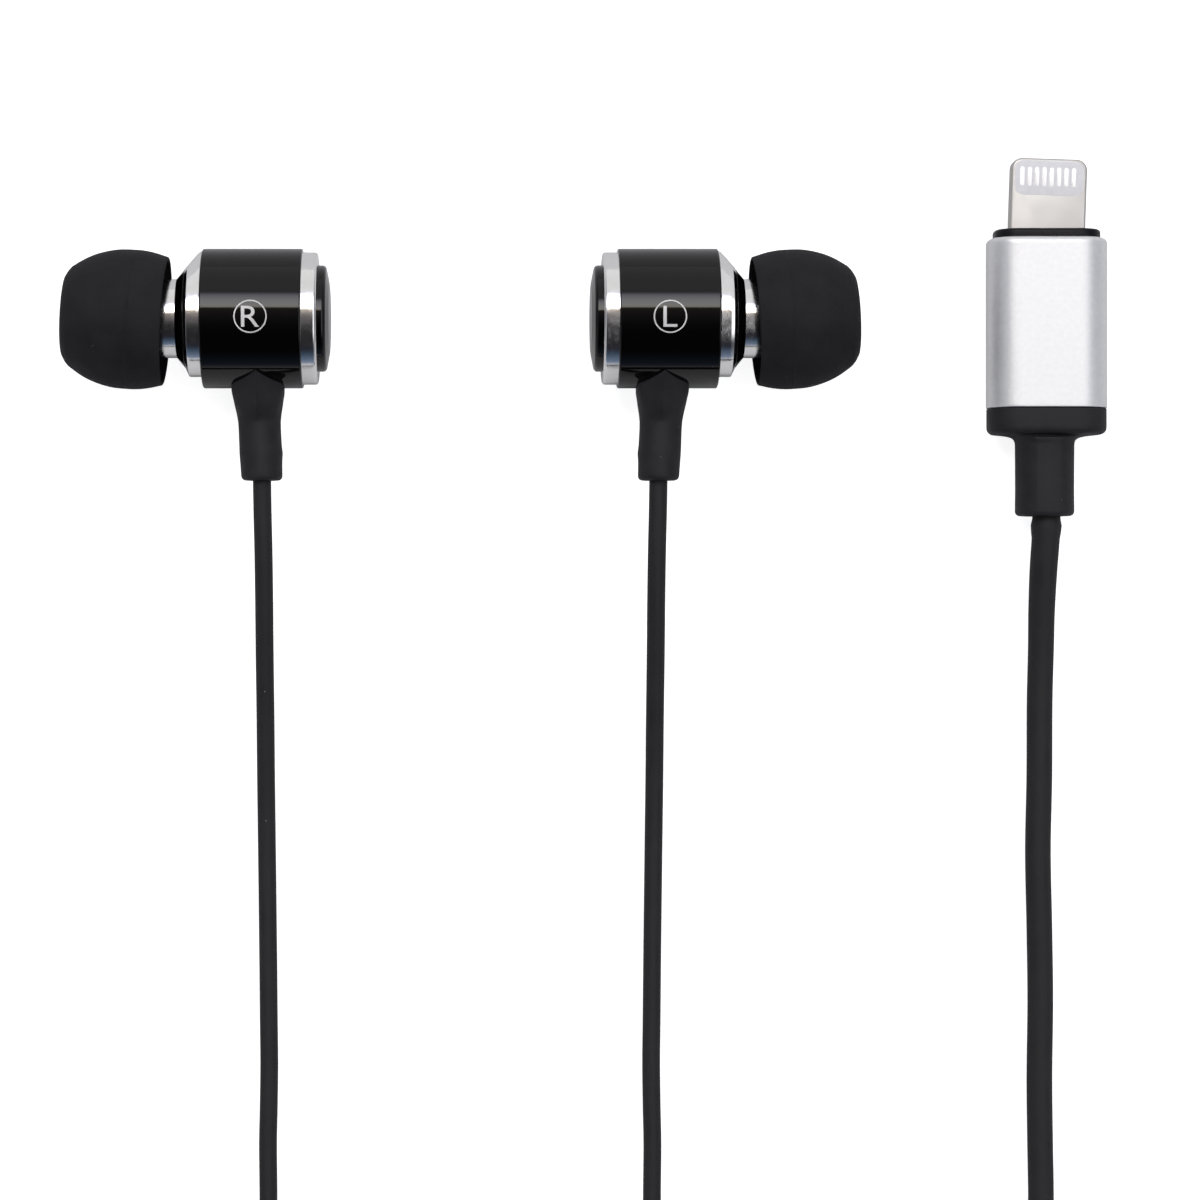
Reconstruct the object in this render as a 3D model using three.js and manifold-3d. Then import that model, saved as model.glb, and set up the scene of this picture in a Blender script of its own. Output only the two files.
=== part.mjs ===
// Wired earphones: two in-ear buds on branch cords, a splitter, and a main cord with a flat plug.
// Millimetres. The object lies on the plane z = 0. X runs along both buds, Y along the plug and
// Z up. The origin is on that plane, midway between the buds and under their common axis.

import * as THREE from 'three';
import { mergeVertices } from 'three/addons/utils/BufferGeometryUtils.js';
import Module from 'manifold-3d';

const wasm = await Module();
wasm.setup();

// Clearances
const seatGap = 0.15; // between fixed pieces that seat on each other
const softGap = 0.3; // around rubber pieces, and at the ends of cords
const cutOverrun = 1; // how far a cut runs past the faces it opens

// Bud: back cap, rear ring and barrel, from the back face outwards
const backFaceOffset = 11.4; // back face to the plane midway between the buds
const barrelRadius = 6.1;
const barrelLength = 8.74;
const barrelWall = 0.7;
const barrelFrontWall = 0.8;
const barrelEdge = 0.12;
const rearRingDepth = 1.32;
const rearRingStep = 0.32; // down from the barrel
const rearRingEdge = 0.35;
const rearSpigotLength = 1;
const capDepth = 1.02;
const capStep = 1.13; // down from the rear ring
const capCrown = 0.95; // width of the rounded rim around the flat back
const capEdge = 0.35;
const capSpigotStep = 0.75;
const capSpigotLength = 1.3;

// Bud: nozzle, and the cone and the bright ring that step up from it
const nozzleBaseRadius = 3.45;
const nozzleShoulder = 0.35; // base down to the neck inside the rings
const nozzleStemStep = 1.1; // base down to the stem inside the ear tip
const nozzleBarbHeight = 0.3;
const nozzleBarbLength = 0.9;
const nozzleWall = 0.75;
const nozzleMouthInset = 3.2; // mouth of the nozzle behind the front of the ear tip
const nozzleFlangeStep = 0.7; // flange inside the barrel
const nozzleFlangeThickness = 0.8;
const coneDepth = 0.71;
const coneRise = 0.91;
const chamferDepth = 0.33;
const chamferRise = 0.74;
const landDepth = 1.24;
const frontSpigotWall = 0.95;
const meshSeatDepth = 0.4;
const meshSeatWall = 0.6;
const meshThickness = 0.2;
const filterLength = 3;
const filterInset = 4;

// Ear tip, as wide as the barrel so that both lie on the surface
const tipRadius = barrelRadius;
const tipStandOff = 0.99; // front of the cone to the rim of the skirt
const tipLength = 8.95;
const tipNoseRadius = 2.4;
const tipWidestDepth = 6; // front of the tip to its widest circle
const tipRimDraw = 0.5; // how far the rim draws in from the widest circle
const tipSkirtWall = 0.7;
const tipSoundBoreRadius = 2;
const tipCoreWall = 0.8;
const tipCoreInset = 1.4; // rim of the skirt to the rear end of the core
const tipCavityInset = 3; // front of the tip to the bottom of the hollow skirt

// Loudspeaker and what is behind it
const driverRimGap = 0.2;
const driverRimThickness = 0.35;
const driverCupRadius = 3.5;
const driverCupDepth = 2.7;
const driverCupWall = 0.4;
const magnetGap = 0.9; // magnet to cup, for the voice coil
const magnetThickness = 1.55;
const formerWall = 0.4;
const formerLength = 2.15;
const diaphragmRim = 0.1; // rim of the driver beyond the film
const diaphragmDomeRadius = 2.9;
const diaphragmDomeHeight = 0.25;
const diaphragmThickness = 0.15;
const terminalBoardRadius = 3;
const terminalBoardThickness = 0.35;
const knotLoopRadius = 0.66;
const knotCordRadius = 0.28;
const knotTurns = 2; // around the knot's own axis
const knotLoops = 3; // through its middle

// Strain relief, hanging from the barrel along -Y
const reliefStation = 6.3; // back face of the bud to the middle of the relief
const reliefLean = 0.35; // how far its lower end leans towards the other bud
const reliefFlareHalfWidth = 2.28;
const reliefFlareHalfDepth = 3.85;
const reliefFlareSide = 1.8;
const reliefFlareDrop = 0.5; // barrel to the end of the flare
const reliefTaperLength = 2.4;
const reliefTubeLength = 5.18;
const reliefTubeRadius = 1.84;
const reliefEndRound = 0.4;
const reliefTenonRadius = 1.25;
const reliefBeadWidth = 0.55;
const reliefBeadThickness = 0.45;

// Plug, along Y
const plugOffset = 51.85; // from the middle of the buds along X
const sleeveWidth = 10.55;
const sleeveThickness = 6;
const sleeveCorner = 2.6;
const sleeveWall = 0.6;
const sleeveFront = 7.29;
const sleeveLength = 14.98;
const collarStep = 0.6; // in from the outline of the sleeve
const collarDepth = 0.76;
const collarSpigotLength = 2.4;
const contactCount = 8;
const contactPitch = 0.648;
const contactWidth = 0.36;
const contactLength = 1.62;
const contactCorner = 0.165;
const contactGap = 0.08;
const contactProud = 0.02;
const windowMargin = 0.567; // outermost contact to the side of the window
const windowLength = 3.04;
const windowCorner = 0.76;
const windowBorder = 0.3; // tip of the tongue to the window
const tongueSide = 0.335; // window to the side of the tongue
const tongueThickness = 1.5;
const tongueLength = 6.28; // standing out of the collar
const tongueCorner = 0.9;
const tongueInnerLength = 3.4;
const padThickness = 0.35;
const contactBoardMargin = 0.1;
const contactBoardThickness = 0.5;
const contactBoardTail = 10.2; // behind the window
const chipSize = 3;
const chipHeight = 0.8;
const bootDepth = 2.53;
const bootReveal = 0.05; // how far the boot stands inside the outline of the sleeve
const bootSpigotLength = 1.6;
const neckStep = 0.4; // flat face of the sleeve down to the neck
const neckLength = 7;
const neckEdge = 0.4;
const crimpRadius = 1.5;
const crimpLength = 1.8;
const cordCoreRadius = 0.8;
const cordCoreLength = 2.6;

// Cords, coils and ties
const branchDiameter = 1.6;
const mainDiameter = 2.3;
const cordSides = 8;
const tieThickness = 0.4;
const tieWidth = 2.5;
const coilBase = tieThickness + softGap;
const coilLayers = 2;
const branchCoil = { x: 28.25, y: -92, inner: 7.05, outer: 11.95, diameter: branchDiameter };
const mainCoil = { x: 33.55, y: -126, inner: 7.2, outer: 19.2, diameter: mainDiameter };

// Splitter: distance down from its top, half width and half height
const splitterTop = -122;
const splitterHeight = 1.7;
const splitterSections = [[0, 2.5, 1.35], [0.6, 2.9, 1.65], [4.2, 2.8, 1.7], [8, 1.95, 1.7], [11, 1.75, 1.6]];
const splitterSides = 12;

// Cord routes, chosen by hand: x, y, z along the free stretches
const branchRoute = [
  [17.35, -14.5, 6.1], [17.31, -17, 6.06], [17.25, -20, 5.85], [17.22, -24.6, 5.15],
  [17.24, -29, 4.1], [17.25, -35, 2.55], [17.26, -40.7, 1.4], [17.22, -46, 0.92],
  [17.16, -51.4, 0.82], [17.1, -56.7, 0.82], [17.05, -62, 0.82], [17.01, -66, 0.82],
  [17.06, -70, 0.82], [17.12, -72.8, 0.82], [17.08, -78, 0.84], [17.1, -82, 1.05],
  [17.1, -85.2, 1.4],
];
const branchTailRoute = [
  [17.1, -98.8, 3], [17.05, -102, 2.5], [16.6, -105.5, 1.6], [15, -109, 1], [12.2, -112.2, 0.82],
  [8.6, -114.6, 0.82], [5, -116.8, 0.86], [2.6, -119.2, 1.2], [1.5, -121, 1.6], [1.35, -121.7, 1.7],
];
const mainRoute = [
  [51.85, -17.5, 3], [51.8, -19.2, 2.95], [51.66, -22, 2.6], [51.6, -25.5, 2], [51.62, -29, 1.5],
  [51.56, -33.5, 1.2], [51.53, -40.6, 1.17], [51.41, -46.9, 1.17], [51.54, -54, 1.17],
  [51.62, -60.2, 1.17], [51.54, -67.3, 1.17], [51.6, -72.7, 1.17], [51.68, -78, 1.17],
  [51.6, -88, 1.17], [51.6, -98, 1.17], [51.6, -107, 1.25], [51.6, -112, 1.5], [51.6, -116, 1.8],
];
const mainTailRoute = [
  [0, -133.3, 1.7], [0, -135.2, 1.55], [0.9, -138.4, 1.25], [3.2, -141.4, 1.17],
  [6.6, -143.4, 1.17], [10.6, -144.05, 1.2], [14.5, -144.1, 1.7], [18.5, -144.1, 2.9],
  [21.5, -144.1, 3.7], [23.5, -144.05, 4.05],
];

// Facets
const outerSides = 24;
const innerSides = 18;
const coilSides = 32;
const reliefSides = 12;
const cornerSteps = 2;
const tipSteps = 4;
const knotSteps = 30;
const knotSides = 5;

// Radii that follow from the pieces that a piece fits
const rearRingRadius = barrelRadius - rearRingStep;
const capRadius = rearRingRadius - capStep;
const capSpigotRadius = capRadius - capSpigotStep;
const coneRearRadius = nozzleBaseRadius + coneRise;
const landRadius = coneRearRadius + chamferRise;
const nozzleNeckRadius = nozzleBaseRadius - nozzleShoulder;
const nozzleStemRadius = nozzleBaseRadius - nozzleStemStep;
const nozzleBarbRadius = nozzleStemRadius + nozzleBarbHeight;
const nozzleBoreRadius = nozzleStemRadius - nozzleWall;
const frontSpigotRadius = nozzleNeckRadius + seatGap + frontSpigotWall;
const barrelInnerRadius = barrelRadius - barrelWall;
const driverRimRadius = barrelInnerRadius - driverRimGap;
const diaphragmRadius = driverRimRadius - diaphragmRim;
const magnetRadius = driverCupRadius - driverCupWall - magnetGap;
const formerRadius = driverCupRadius - driverCupWall - (magnetGap + formerWall) / 2;
const tipRimRadius = tipRadius - tipRimDraw;
const tipBoreRadius = nozzleBarbRadius + softGap;
const reliefHoleRadius = reliefTenonRadius + seatGap;
const reliefBeadRadius = reliefTenonRadius + reliefBeadWidth;
const rearRingBoreRadius = capSpigotRadius + seatGap;
const knotReach = 1.5 * knotLoopRadius + knotCordRadius; // a torus knot is 1.5 of its radius wide
const knotDepth = rearRingBoreRadius - seatGap - knotReach;

// Stations along the axis of a bud, measured from the plane midway between the buds
const capFront = backFaceOffset + capDepth;
const barrelBack = capFront + rearRingDepth;
const barrelFront = barrelBack + barrelLength;
const landFront = barrelFront + landDepth;
const ringFront = landFront + chamferDepth;
const coneFront = ringFront + coneDepth;
const tipRear = coneFront + tipStandOff;
const tipFront = tipRear + tipLength;
const nozzleMouth = tipFront - nozzleMouthInset;
const tipCoreRear = tipRear + tipCoreInset;
const flangeFront = barrelFront - barrelFrontWall - seatGap;
const flangeRear = flangeFront - nozzleFlangeThickness;
const diaphragmRear = flangeRear - seatGap - diaphragmThickness - diaphragmDomeHeight;
const driverFront = diaphragmRear - seatGap;
const driverRear = driverFront - driverCupDepth;
const terminalBoardFront = driverRear - seatGap;
const terminalBoardRear = terminalBoardFront - terminalBoardThickness;
const knotStation = terminalBoardRear - seatGap - knotReach;
const reliefAxis = backFaceOffset + reliefStation;

// Depths of the strain relief below the axis of the bud
const reliefFlareEnd = barrelRadius + reliefFlareDrop;
const reliefTubeStart = reliefFlareEnd + reliefTaperLength;
const reliefEnd = reliefTubeStart + reliefTubeLength;

// Widths of the plug's pieces, and stations along Y
const contactSpan = (contactCount - 1) * contactPitch + contactWidth;
const windowWidth = contactSpan + 2 * windowMargin;
const tongueWidth = windowWidth + 2 * tongueSide;
const contactBoardWidth = contactSpan + 2 * contactBoardMargin;
const collarWidth = sleeveWidth - 2 * collarStep;
const collarThickness = sleeveThickness - 2 * collarStep;
const collarCorner = sleeveCorner - collarStep;
const neckRadius = sleeveThickness / 2 - neckStep;
const spigotWidth = sleeveWidth - 2 * (sleeveWall + seatGap);
const spigotThickness = sleeveThickness - 2 * (sleeveWall + seatGap);
const spigotCorner = sleeveCorner - sleeveWall - seatGap;
const collarFront = sleeveFront + collarDepth;
const tongueTip = collarFront + tongueLength;
const tongueRear = collarFront - tongueInnerLength;
const sleeveRear = sleeveFront - sleeveLength;
const bootRear = sleeveRear - bootDepth;
const neckEnd = bootRear - neckLength;
const windowTop = tongueTip - windowBorder;
const windowMiddle = windowTop - windowLength / 2;

const finishes = {
  silicone: { color: 0x2b2b2c, roughness: 0.85, metalness: 0 },
  rubber: { color: 0x323234, roughness: 0.75, metalness: 0 },
  blackGloss: { color: 0x0b0b0c, roughness: 0.12, metalness: 0 },
  chrome: { color: 0xd8d9dc, roughness: 0.08, metalness: 1 },
  beadBlasted: { color: 0xb9bbc0, roughness: 0.38, metalness: 1 },
  nickel: { color: 0xd0c8bc, roughness: 0.28, metalness: 1 },
  steel: { color: 0x9a9b9e, roughness: 0.35, metalness: 1 },
  magnet: { color: 0x7d7e80, roughness: 0.45, metalness: 1 },
  film: { color: 0xc9b995, roughness: 0.3, metalness: 0 },
  foam: { color: 0xd9d9d4, roughness: 0.95, metalness: 0 },
  copper: { color: 0xb4683a, roughness: 0.3, metalness: 1 },
  laminate: { color: 0x1f5b3a, roughness: 0.5, metalness: 0 },
  padPlastic: { color: 0xc4c7cf, roughness: 0.5, metalness: 0 },
  chip: { color: 0x1a1a1b, roughness: 0.6, metalness: 0 },
  tie: { color: 0x29292a, roughness: 0.7, metalness: 0 },
};

const group = new THREE.Group();

// A named piece with a finish of its own
function piece(parent, name, geometry, finish) {
  const mesh = new THREE.Mesh(geometry, new THREE.MeshStandardMaterial(finishes[finish]));
  mesh.name = name;
  parent.add(mesh);
  return mesh;
}

// Twice the signed area of an outline
function turning(points) {
  let sum = 0;
  points.forEach((point, index) => {
    const next = points[(index + 1) % points.length];
    sum += point[0] * next[1] - next[0] * point[1];
  });
  return sum;
}

// A solid of revolution about X from [station, radius] points, with its faces outwards. It
// starts and ends on the axis, or closes on itself
function turned(outline, sides) {
  const points = turning(outline) > 0 ? [...outline].reverse() : outline;
  const start = points.findIndex(([, radius], index) => {
    return radius === 0 && points[(index + 1) % points.length][1] > 0;
  });
  const ordered = start < 0 ? [...points, points[0]] : [...points.slice(start), ...points.slice(0, start)];
  const profile = ordered.map(([station, radius]) => new THREE.Vector2(radius, station));
  const geometry = new THREE.LatheGeometry(profile, sides);
  geometry.rotateZ(-Math.PI / 2);
  return geometry;
}

// Points of a quarter ellipse that leaves the first point along the radius
function rounded(station0, radius0, station1, radius1, steps = cornerSteps) {
  return Array.from({ length: steps + 1 }, (_, step) => {
    const turn = (Math.PI / 2) * (step / steps);
    const station = station0 + (station1 - station0) * (1 - Math.cos(turn));
    return [station, radius0 + (radius1 - radius0) * Math.sin(turn)];
  });
}

// A plain disc about X
function disc(station0, station1, radius, sides) {
  return turned([[station0, 0], [station0, radius], [station1, radius], [station1, 0]], sides);
}

// A plain sleeve about X
function sleeveAbout(station0, station1, inner, outer, sides) {
  return turned([[station0, inner], [station0, outer], [station1, outer], [station1, inner]], sides);
}

// The same surface with its vertices shared and without the empty triangles of a lathe's poles
function welded(geometry) {
  const bare = geometry.clone();
  bare.deleteAttribute('normal');
  bare.deleteAttribute('uv');
  const merged = mergeVertices(bare);
  const index = [];
  for (let first = 0; first < merged.index.count; first += 3) {
    const [a, b, c] = [0, 1, 2].map((corner) => merged.index.getX(first + corner));
    if (a !== b && b !== c && c !== a) index.push(a, b, c);
  }
  merged.setIndex(index);
  return merged;
}

// Closed mesh to boolean solid
function solid(geometry) {
  const merged = welded(geometry);
  const vertProperties = new Float32Array(merged.attributes.position.array);
  const triVerts = new Uint32Array(merged.index.array);
  return new wasm.Manifold(new wasm.Mesh({ numProp: 3, vertProperties, triVerts }));
}

// Boolean solid back to a geometry
function shaped(manifold) {
  const mesh = manifold.getMesh();
  const geometry = new THREE.BufferGeometry();
  geometry.setAttribute('position', new THREE.BufferAttribute(mesh.vertProperties, mesh.numProp));
  geometry.setIndex(new THREE.BufferAttribute(mesh.triVerts, 1));
  return geometry;
}

// A rod along Y from y0 to y1
function rodAlongY(radius, y0, y1, x, sides) {
  const geometry = new THREE.CylinderGeometry(radius, radius, Math.abs(y1 - y0), sides);
  geometry.translate(x, (y0 + y1) / 2, 0);
  return geometry;
}

// A closed skin over rings of points that all have the same count
function lofted(rings) {
  const count = rings[0].length;
  const positions = rings.flat().flatMap((point) => [point.x, point.y, point.z]);
  const index = [];
  for (let ring = 0; ring < rings.length - 1; ring += 1) {
    for (let side = 0; side < count; side += 1) {
      const a = ring * count + side;
      const b = ring * count + ((side + 1) % count);
      index.push(a, b, a + count, b, b + count, a + count);
    }
  }
  const last = (rings.length - 1) * count;
  for (let side = 1; side < count - 1; side += 1) {
    index.push(0, side + 1, side);
    index.push(last, last + side, last + side + 1);
  }
  const geometry = new THREE.BufferGeometry();
  geometry.setAttribute('position', new THREE.Float32BufferAttribute(positions, 3));
  geometry.setIndex(index);
  return geometry;
}

function roundedRect(width, height, corner) {
  const shape = new THREE.Shape();
  const x = width / 2;
  const y = height / 2;
  shape.moveTo(-x + corner, -y);
  shape.lineTo(x - corner, -y);
  shape.absarc(x - corner, -y + corner, corner, -Math.PI / 2, 0);
  shape.lineTo(x, y - corner);
  shape.absarc(x - corner, y - corner, corner, 0, Math.PI / 2);
  shape.lineTo(-x + corner, y);
  shape.absarc(-x + corner, y - corner, corner, Math.PI / 2, Math.PI);
  shape.lineTo(-x, -y + corner);
  shape.absarc(-x + corner, -y + corner, corner, Math.PI, 1.5 * Math.PI);
  return shape;
}

// A prism along Y between two stations, its shape drawn in X and Z
function prismAlongY(shape, y0, y1, curveSegments = 3) {
  const depth = y1 - y0;
  const geometry = new THREE.ExtrudeGeometry(shape, { depth, bevelEnabled: false, curveSegments });
  geometry.rotateX(Math.PI / 2);
  geometry.translate(0, y1, 0);
  return geometry;
}

// A flat plate between two heights, its shape drawn in X and Y
function plate(shape, z0, z1, y = 0, curveSegments = 4) {
  const depth = z1 - z0;
  const geometry = new THREE.ExtrudeGeometry(shape, { depth, bevelEnabled: false, curveSegments });
  geometry.translate(0, y, z0);
  return geometry;
}

function tipOutline() {
  const skirt = (depth) => {
    const share = (depth - tipWidestDepth) / (tipLength - tipWidestDepth);
    return tipRadius - tipRimDraw * share * share;
  };
  const widest = tipFront - tipWidestDepth;
  const middle = (tipWidestDepth + tipLength) / 2;
  const cavity = tipFront - tipCavityInset;
  const coreRadius = tipBoreRadius + tipCoreWall;
  const inside = tipRadius - tipSkirtWall;
  return [
    [tipFront, tipSoundBoreRadius],
    ...rounded(tipFront, tipNoseRadius, widest, tipRadius, tipSteps),
    [tipFront - middle, skirt(middle)],
    [tipRear, tipRimRadius],
    [tipRear, tipRimRadius - tipSkirtWall],
    [tipFront - middle, skirt(middle) - tipSkirtWall],
    [widest, inside],
    [cavity - tipSkirtWall, coreRadius + tipCoreWall],
    [cavity - tipSkirtWall, coreRadius],
    [tipCoreRear, coreRadius],
    [tipCoreRear, tipBoreRadius],
    [nozzleMouth + softGap, tipBoreRadius],
    [nozzleMouth + softGap, tipSoundBoreRadius],
  ];
}

function nozzleOutline() {
  const baseFront = tipCoreRear - softGap;
  const baseRear = coneFront + seatGap;
  const flangeRadius = barrelInnerRadius - nozzleFlangeStep - seatGap;
  const seatRadius = nozzleBarbRadius - meshSeatWall;
  return [
    [nozzleMouth, seatRadius],
    [nozzleMouth, nozzleStemRadius],
    [nozzleMouth - nozzleBarbHeight, nozzleBarbRadius],
    [nozzleMouth - nozzleBarbLength, nozzleBarbRadius],
    [nozzleMouth - nozzleBarbLength, nozzleStemRadius],
    [baseFront, nozzleStemRadius],
    [baseFront, nozzleBaseRadius],
    [baseRear, nozzleBaseRadius],
    [baseRear, nozzleNeckRadius],
    [flangeFront, nozzleNeckRadius],
    [flangeFront, flangeRadius],
    [flangeRear, flangeRadius],
    [flangeRear, nozzleBoreRadius],
    [nozzleMouth - meshSeatDepth, nozzleBoreRadius],
    [nozzleMouth - meshSeatDepth, seatRadius],
  ];
}

function frontRingOutline() {
  const seat = barrelFront + seatGap;
  const bore = nozzleNeckRadius + seatGap;
  return [
    [seat, frontSpigotRadius],
    [seat, landRadius],
    [landFront, landRadius],
    [ringFront, coneRearRadius],
    [ringFront, bore],
    [barrelFront - barrelFrontWall, bore],
    [barrelFront - barrelFrontWall, frontSpigotRadius],
  ];
}

function coneOutline() {
  const bore = nozzleNeckRadius + seatGap;
  return [
    [ringFront + seatGap, bore],
    [ringFront + seatGap, coneRearRadius],
    [coneFront, nozzleBaseRadius],
    [coneFront, bore],
  ];
}

function barrelOutline() {
  const hole = frontSpigotRadius + seatGap;
  return [
    [barrelBack, barrelInnerRadius],
    [barrelBack, barrelRadius - barrelEdge],
    [barrelBack + barrelEdge, barrelRadius],
    [barrelFront - barrelEdge, barrelRadius],
    [barrelFront, barrelRadius - barrelEdge],
    [barrelFront, hole],
    [barrelFront - barrelFrontWall, hole],
    [barrelFront - barrelFrontWall, barrelInnerRadius],
  ];
}

function rearRingOutline() {
  const shoulder = barrelBack - seatGap;
  const spigot = barrelInnerRadius - seatGap;
  return [
    [capFront, rearRingBoreRadius],
    ...rounded(capFront, rearRingRadius - rearRingEdge, capFront + rearRingEdge, rearRingRadius),
    [shoulder, rearRingRadius],
    [shoulder, spigot],
    [barrelBack + rearSpigotLength, spigot],
    [barrelBack + rearSpigotLength, rearRingBoreRadius],
  ];
}

function capOutline() {
  const seat = capFront - seatGap;
  return [
    [backFaceOffset, 0],
    ...rounded(backFaceOffset, capRadius - capCrown, backFaceOffset + capEdge, capRadius),
    [seat, capRadius],
    [seat, capSpigotRadius],
    [capFront + capSpigotLength, capSpigotRadius],
    [capFront + capSpigotLength, 0],
  ];
}

function driverFrameOutline() {
  const rimRear = driverFront - driverRimThickness;
  const inner = driverCupRadius - driverCupWall;
  return [
    [driverRear, 0],
    [driverRear, driverCupRadius],
    [rimRear, driverCupRadius],
    [rimRear, driverRimRadius],
    [driverFront, driverRimRadius],
    [driverFront, inner],
    [driverRear + driverCupWall, inner],
    [driverRear + driverCupWall, 0],
  ];
}

function diaphragmOutline() {
  const front = diaphragmRear + diaphragmThickness;
  return [
    [diaphragmRear + diaphragmDomeHeight, 0],
    [diaphragmRear, diaphragmDomeRadius],
    [diaphragmRear, diaphragmRadius],
    [front, diaphragmRadius],
    [front, diaphragmDomeRadius],
    [front + diaphragmDomeHeight, 0],
  ];
}

// Section of the relief at a depth below the axis of the bud: a flare with a ridge in front and
// behind that turns into a round tube
function reliefSection(depth) {
  const slope = (reliefFlareHalfDepth - reliefFlareSide) / reliefFlareHalfWidth;
  const blend = THREE.MathUtils.smoothstep(depth, reliefFlareEnd, reliefTubeStart);
  const lean = (reliefLean * Math.max(depth - barrelRadius, 0)) / (reliefEnd - barrelRadius);
  const end = Math.max(0, (depth - reliefEnd + reliefEndRound) / reliefEndRound);
  const shrink = reliefEndRound * (1 - Math.sqrt(1 - end * end));
  return Array.from({ length: reliefSides }, (_, side) => {
    const angle = (2 * Math.PI * side) / reliefSides;
    const across = Math.abs(Math.cos(angle));
    const along = Math.abs(Math.sin(angle));
    const facet = reliefFlareHalfDepth / (along + slope * across);
    const flare = Math.min(reliefFlareHalfWidth / Math.max(across, Number.EPSILON), facet);
    const radius = THREE.MathUtils.lerp(flare, reliefTubeRadius, blend) - shrink;
    return new THREE.Vector3(
      reliefAxis - lean + radius * Math.cos(angle), -depth, radius * Math.sin(angle));
  });
}

// The relief: flare and tube cut to the barrel, with a tenon and a bead that hold it in the hole
function reliefGeometry() {
  const depths = [
    barrelRadius - 2 * barrelWall, reliefFlareEnd, (2 * reliefFlareEnd + reliefTubeStart) / 3,
    (reliefFlareEnd + 2 * reliefTubeStart) / 3, reliefTubeStart, reliefEnd - reliefEndRound,
    reliefEnd - reliefEndRound / 4, reliefEnd,
  ];
  const outside = barrelRadius + seatGap;
  const cutter = disc(barrelBack - barrelWall, barrelFront + barrelWall, outside, outerSides);
  const beadTop = barrelInnerRadius - 2 * reliefBeadThickness;
  const beadBottom = beadTop - reliefBeadThickness;
  const tenonEnd = -outside - barrelWall;
  const tenon = rodAlongY(reliefTenonRadius, -beadTop, tenonEnd, reliefAxis, reliefSides);
  const bead = rodAlongY(reliefBeadRadius, -beadTop - seatGap, -beadBottom, reliefAxis, reliefSides);
  const body = solid(lofted(depths.map(reliefSection))).subtract(solid(cutter));
  return shaped(body.add(solid(tenon)).add(solid(bead)));
}

function barrelGeometry() {
  const hole = rodAlongY(reliefHoleRadius, 0, -barrelRadius - cutOverrun, reliefAxis, reliefSides);
  return shaped(solid(turned(barrelOutline(), outerSides)).subtract(solid(hole)));
}

function knotGeometry() {
  const geometry = new THREE.TorusKnotGeometry(
    knotLoopRadius, knotCordRadius, knotSteps, knotSides, knotTurns, knotLoops);
  geometry.translate(knotStation, -knotDepth, 0);
  return geometry;
}

function addDriver(bud, side) {
  const magnetRear = driverRear + driverCupWall + seatGap;
  const formerFront = driverFront - seatGap / 2;
  const formerOuter = formerRadius + formerWall;
  const formerRear = formerFront - formerLength;
  const magnetFront = magnetRear + magnetThickness;
  piece(bud, `driver_frame_${side}`, turned(driverFrameOutline(), innerSides), 'steel');
  piece(bud, `driver_magnet_${side}`, disc(magnetRear, magnetFront, magnetRadius, innerSides), 'magnet');
  piece(bud, `voice_coil_${side}`,
    sleeveAbout(formerRear, formerFront, formerRadius, formerOuter, innerSides), 'copper');
  piece(bud, `diaphragm_${side}`, turned(diaphragmOutline(), innerSides), 'film');
  piece(bud, `terminal_board_${side}`,
    disc(terminalBoardRear, terminalBoardFront, terminalBoardRadius, innerSides), 'laminate');
  piece(bud, `cord_knot_${side}`, knotGeometry(), 'rubber');
}

function addNozzle(bud, side) {
  const meshFront = nozzleMouth - meshSeatDepth / 4;
  const meshRadius = nozzleBarbRadius - meshSeatWall - seatGap;
  const filterFront = nozzleMouth - filterInset;
  const filterRadius = nozzleBoreRadius - seatGap;
  piece(bud, `nozzle_${side}`, turned(nozzleOutline(), innerSides), 'chrome');
  piece(bud, `nozzle_mesh_${side}`,
    disc(meshFront - meshThickness, meshFront, meshRadius, innerSides), 'steel');
  piece(bud, `acoustic_filter_${side}`,
    disc(filterFront - filterLength, filterFront, filterRadius, innerSides), 'foam');
  piece(bud, `front_cone_${side}`, turned(coneOutline(), outerSides), 'blackGloss');
  piece(bud, `front_ring_${side}`, turned(frontRingOutline(), outerSides), 'chrome');
}

// One earphone, its axis along X and its nozzle outwards; the right one is turned about Y
function addBud(side, turn) {
  const bud = new THREE.Group();
  bud.position.z = barrelRadius;
  bud.rotation.y = turn;
  piece(bud, `ear_tip_${side}`, turned(tipOutline(), outerSides), 'silicone');
  addNozzle(bud, side);
  piece(bud, `barrel_${side}`, barrelGeometry(), 'blackGloss');
  piece(bud, `rear_ring_${side}`, turned(rearRingOutline(), outerSides), 'chrome');
  piece(bud, `back_cap_${side}`, turned(capOutline(), outerSides), 'blackGloss');
  addDriver(bud, side);
  piece(bud, `strain_relief_${side}`, reliefGeometry(), 'rubber');
  group.add(bud);
}

function contactPill() {
  return roundedRect(contactWidth, contactLength, contactCorner);
}

function contactPlaces() {
  const first = (-(contactCount - 1) * contactPitch) / 2;
  return Array.from({ length: contactCount }, (_, index) => first + index * contactPitch);
}

// The tongue: a plate with a window through both faces and a slot for the board behind it
function tongueGeometry() {
  const half = tongueThickness / 2;
  const length = tongueTip - tongueRear + tongueCorner;
  const outline = roundedRect(tongueWidth, length, tongueCorner);
  const blank = plate(outline, -half, half, tongueTip - length / 2);
  const opening = roundedRect(windowWidth, windowLength, windowCorner);
  const window = plate(opening, -half - cutOverrun, half + cutOverrun, windowMiddle);
  const slotWidth = contactBoardWidth + 2 * seatGap;
  const slotHeight = contactBoardThickness + 2 * seatGap;
  const slot = prismAlongY(roundedRect(slotWidth, slotHeight, seatGap), tongueRear - length, windowMiddle, 1);
  return shaped(solid(blank).subtract(solid(window)).subtract(solid(slot)));
}

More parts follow.
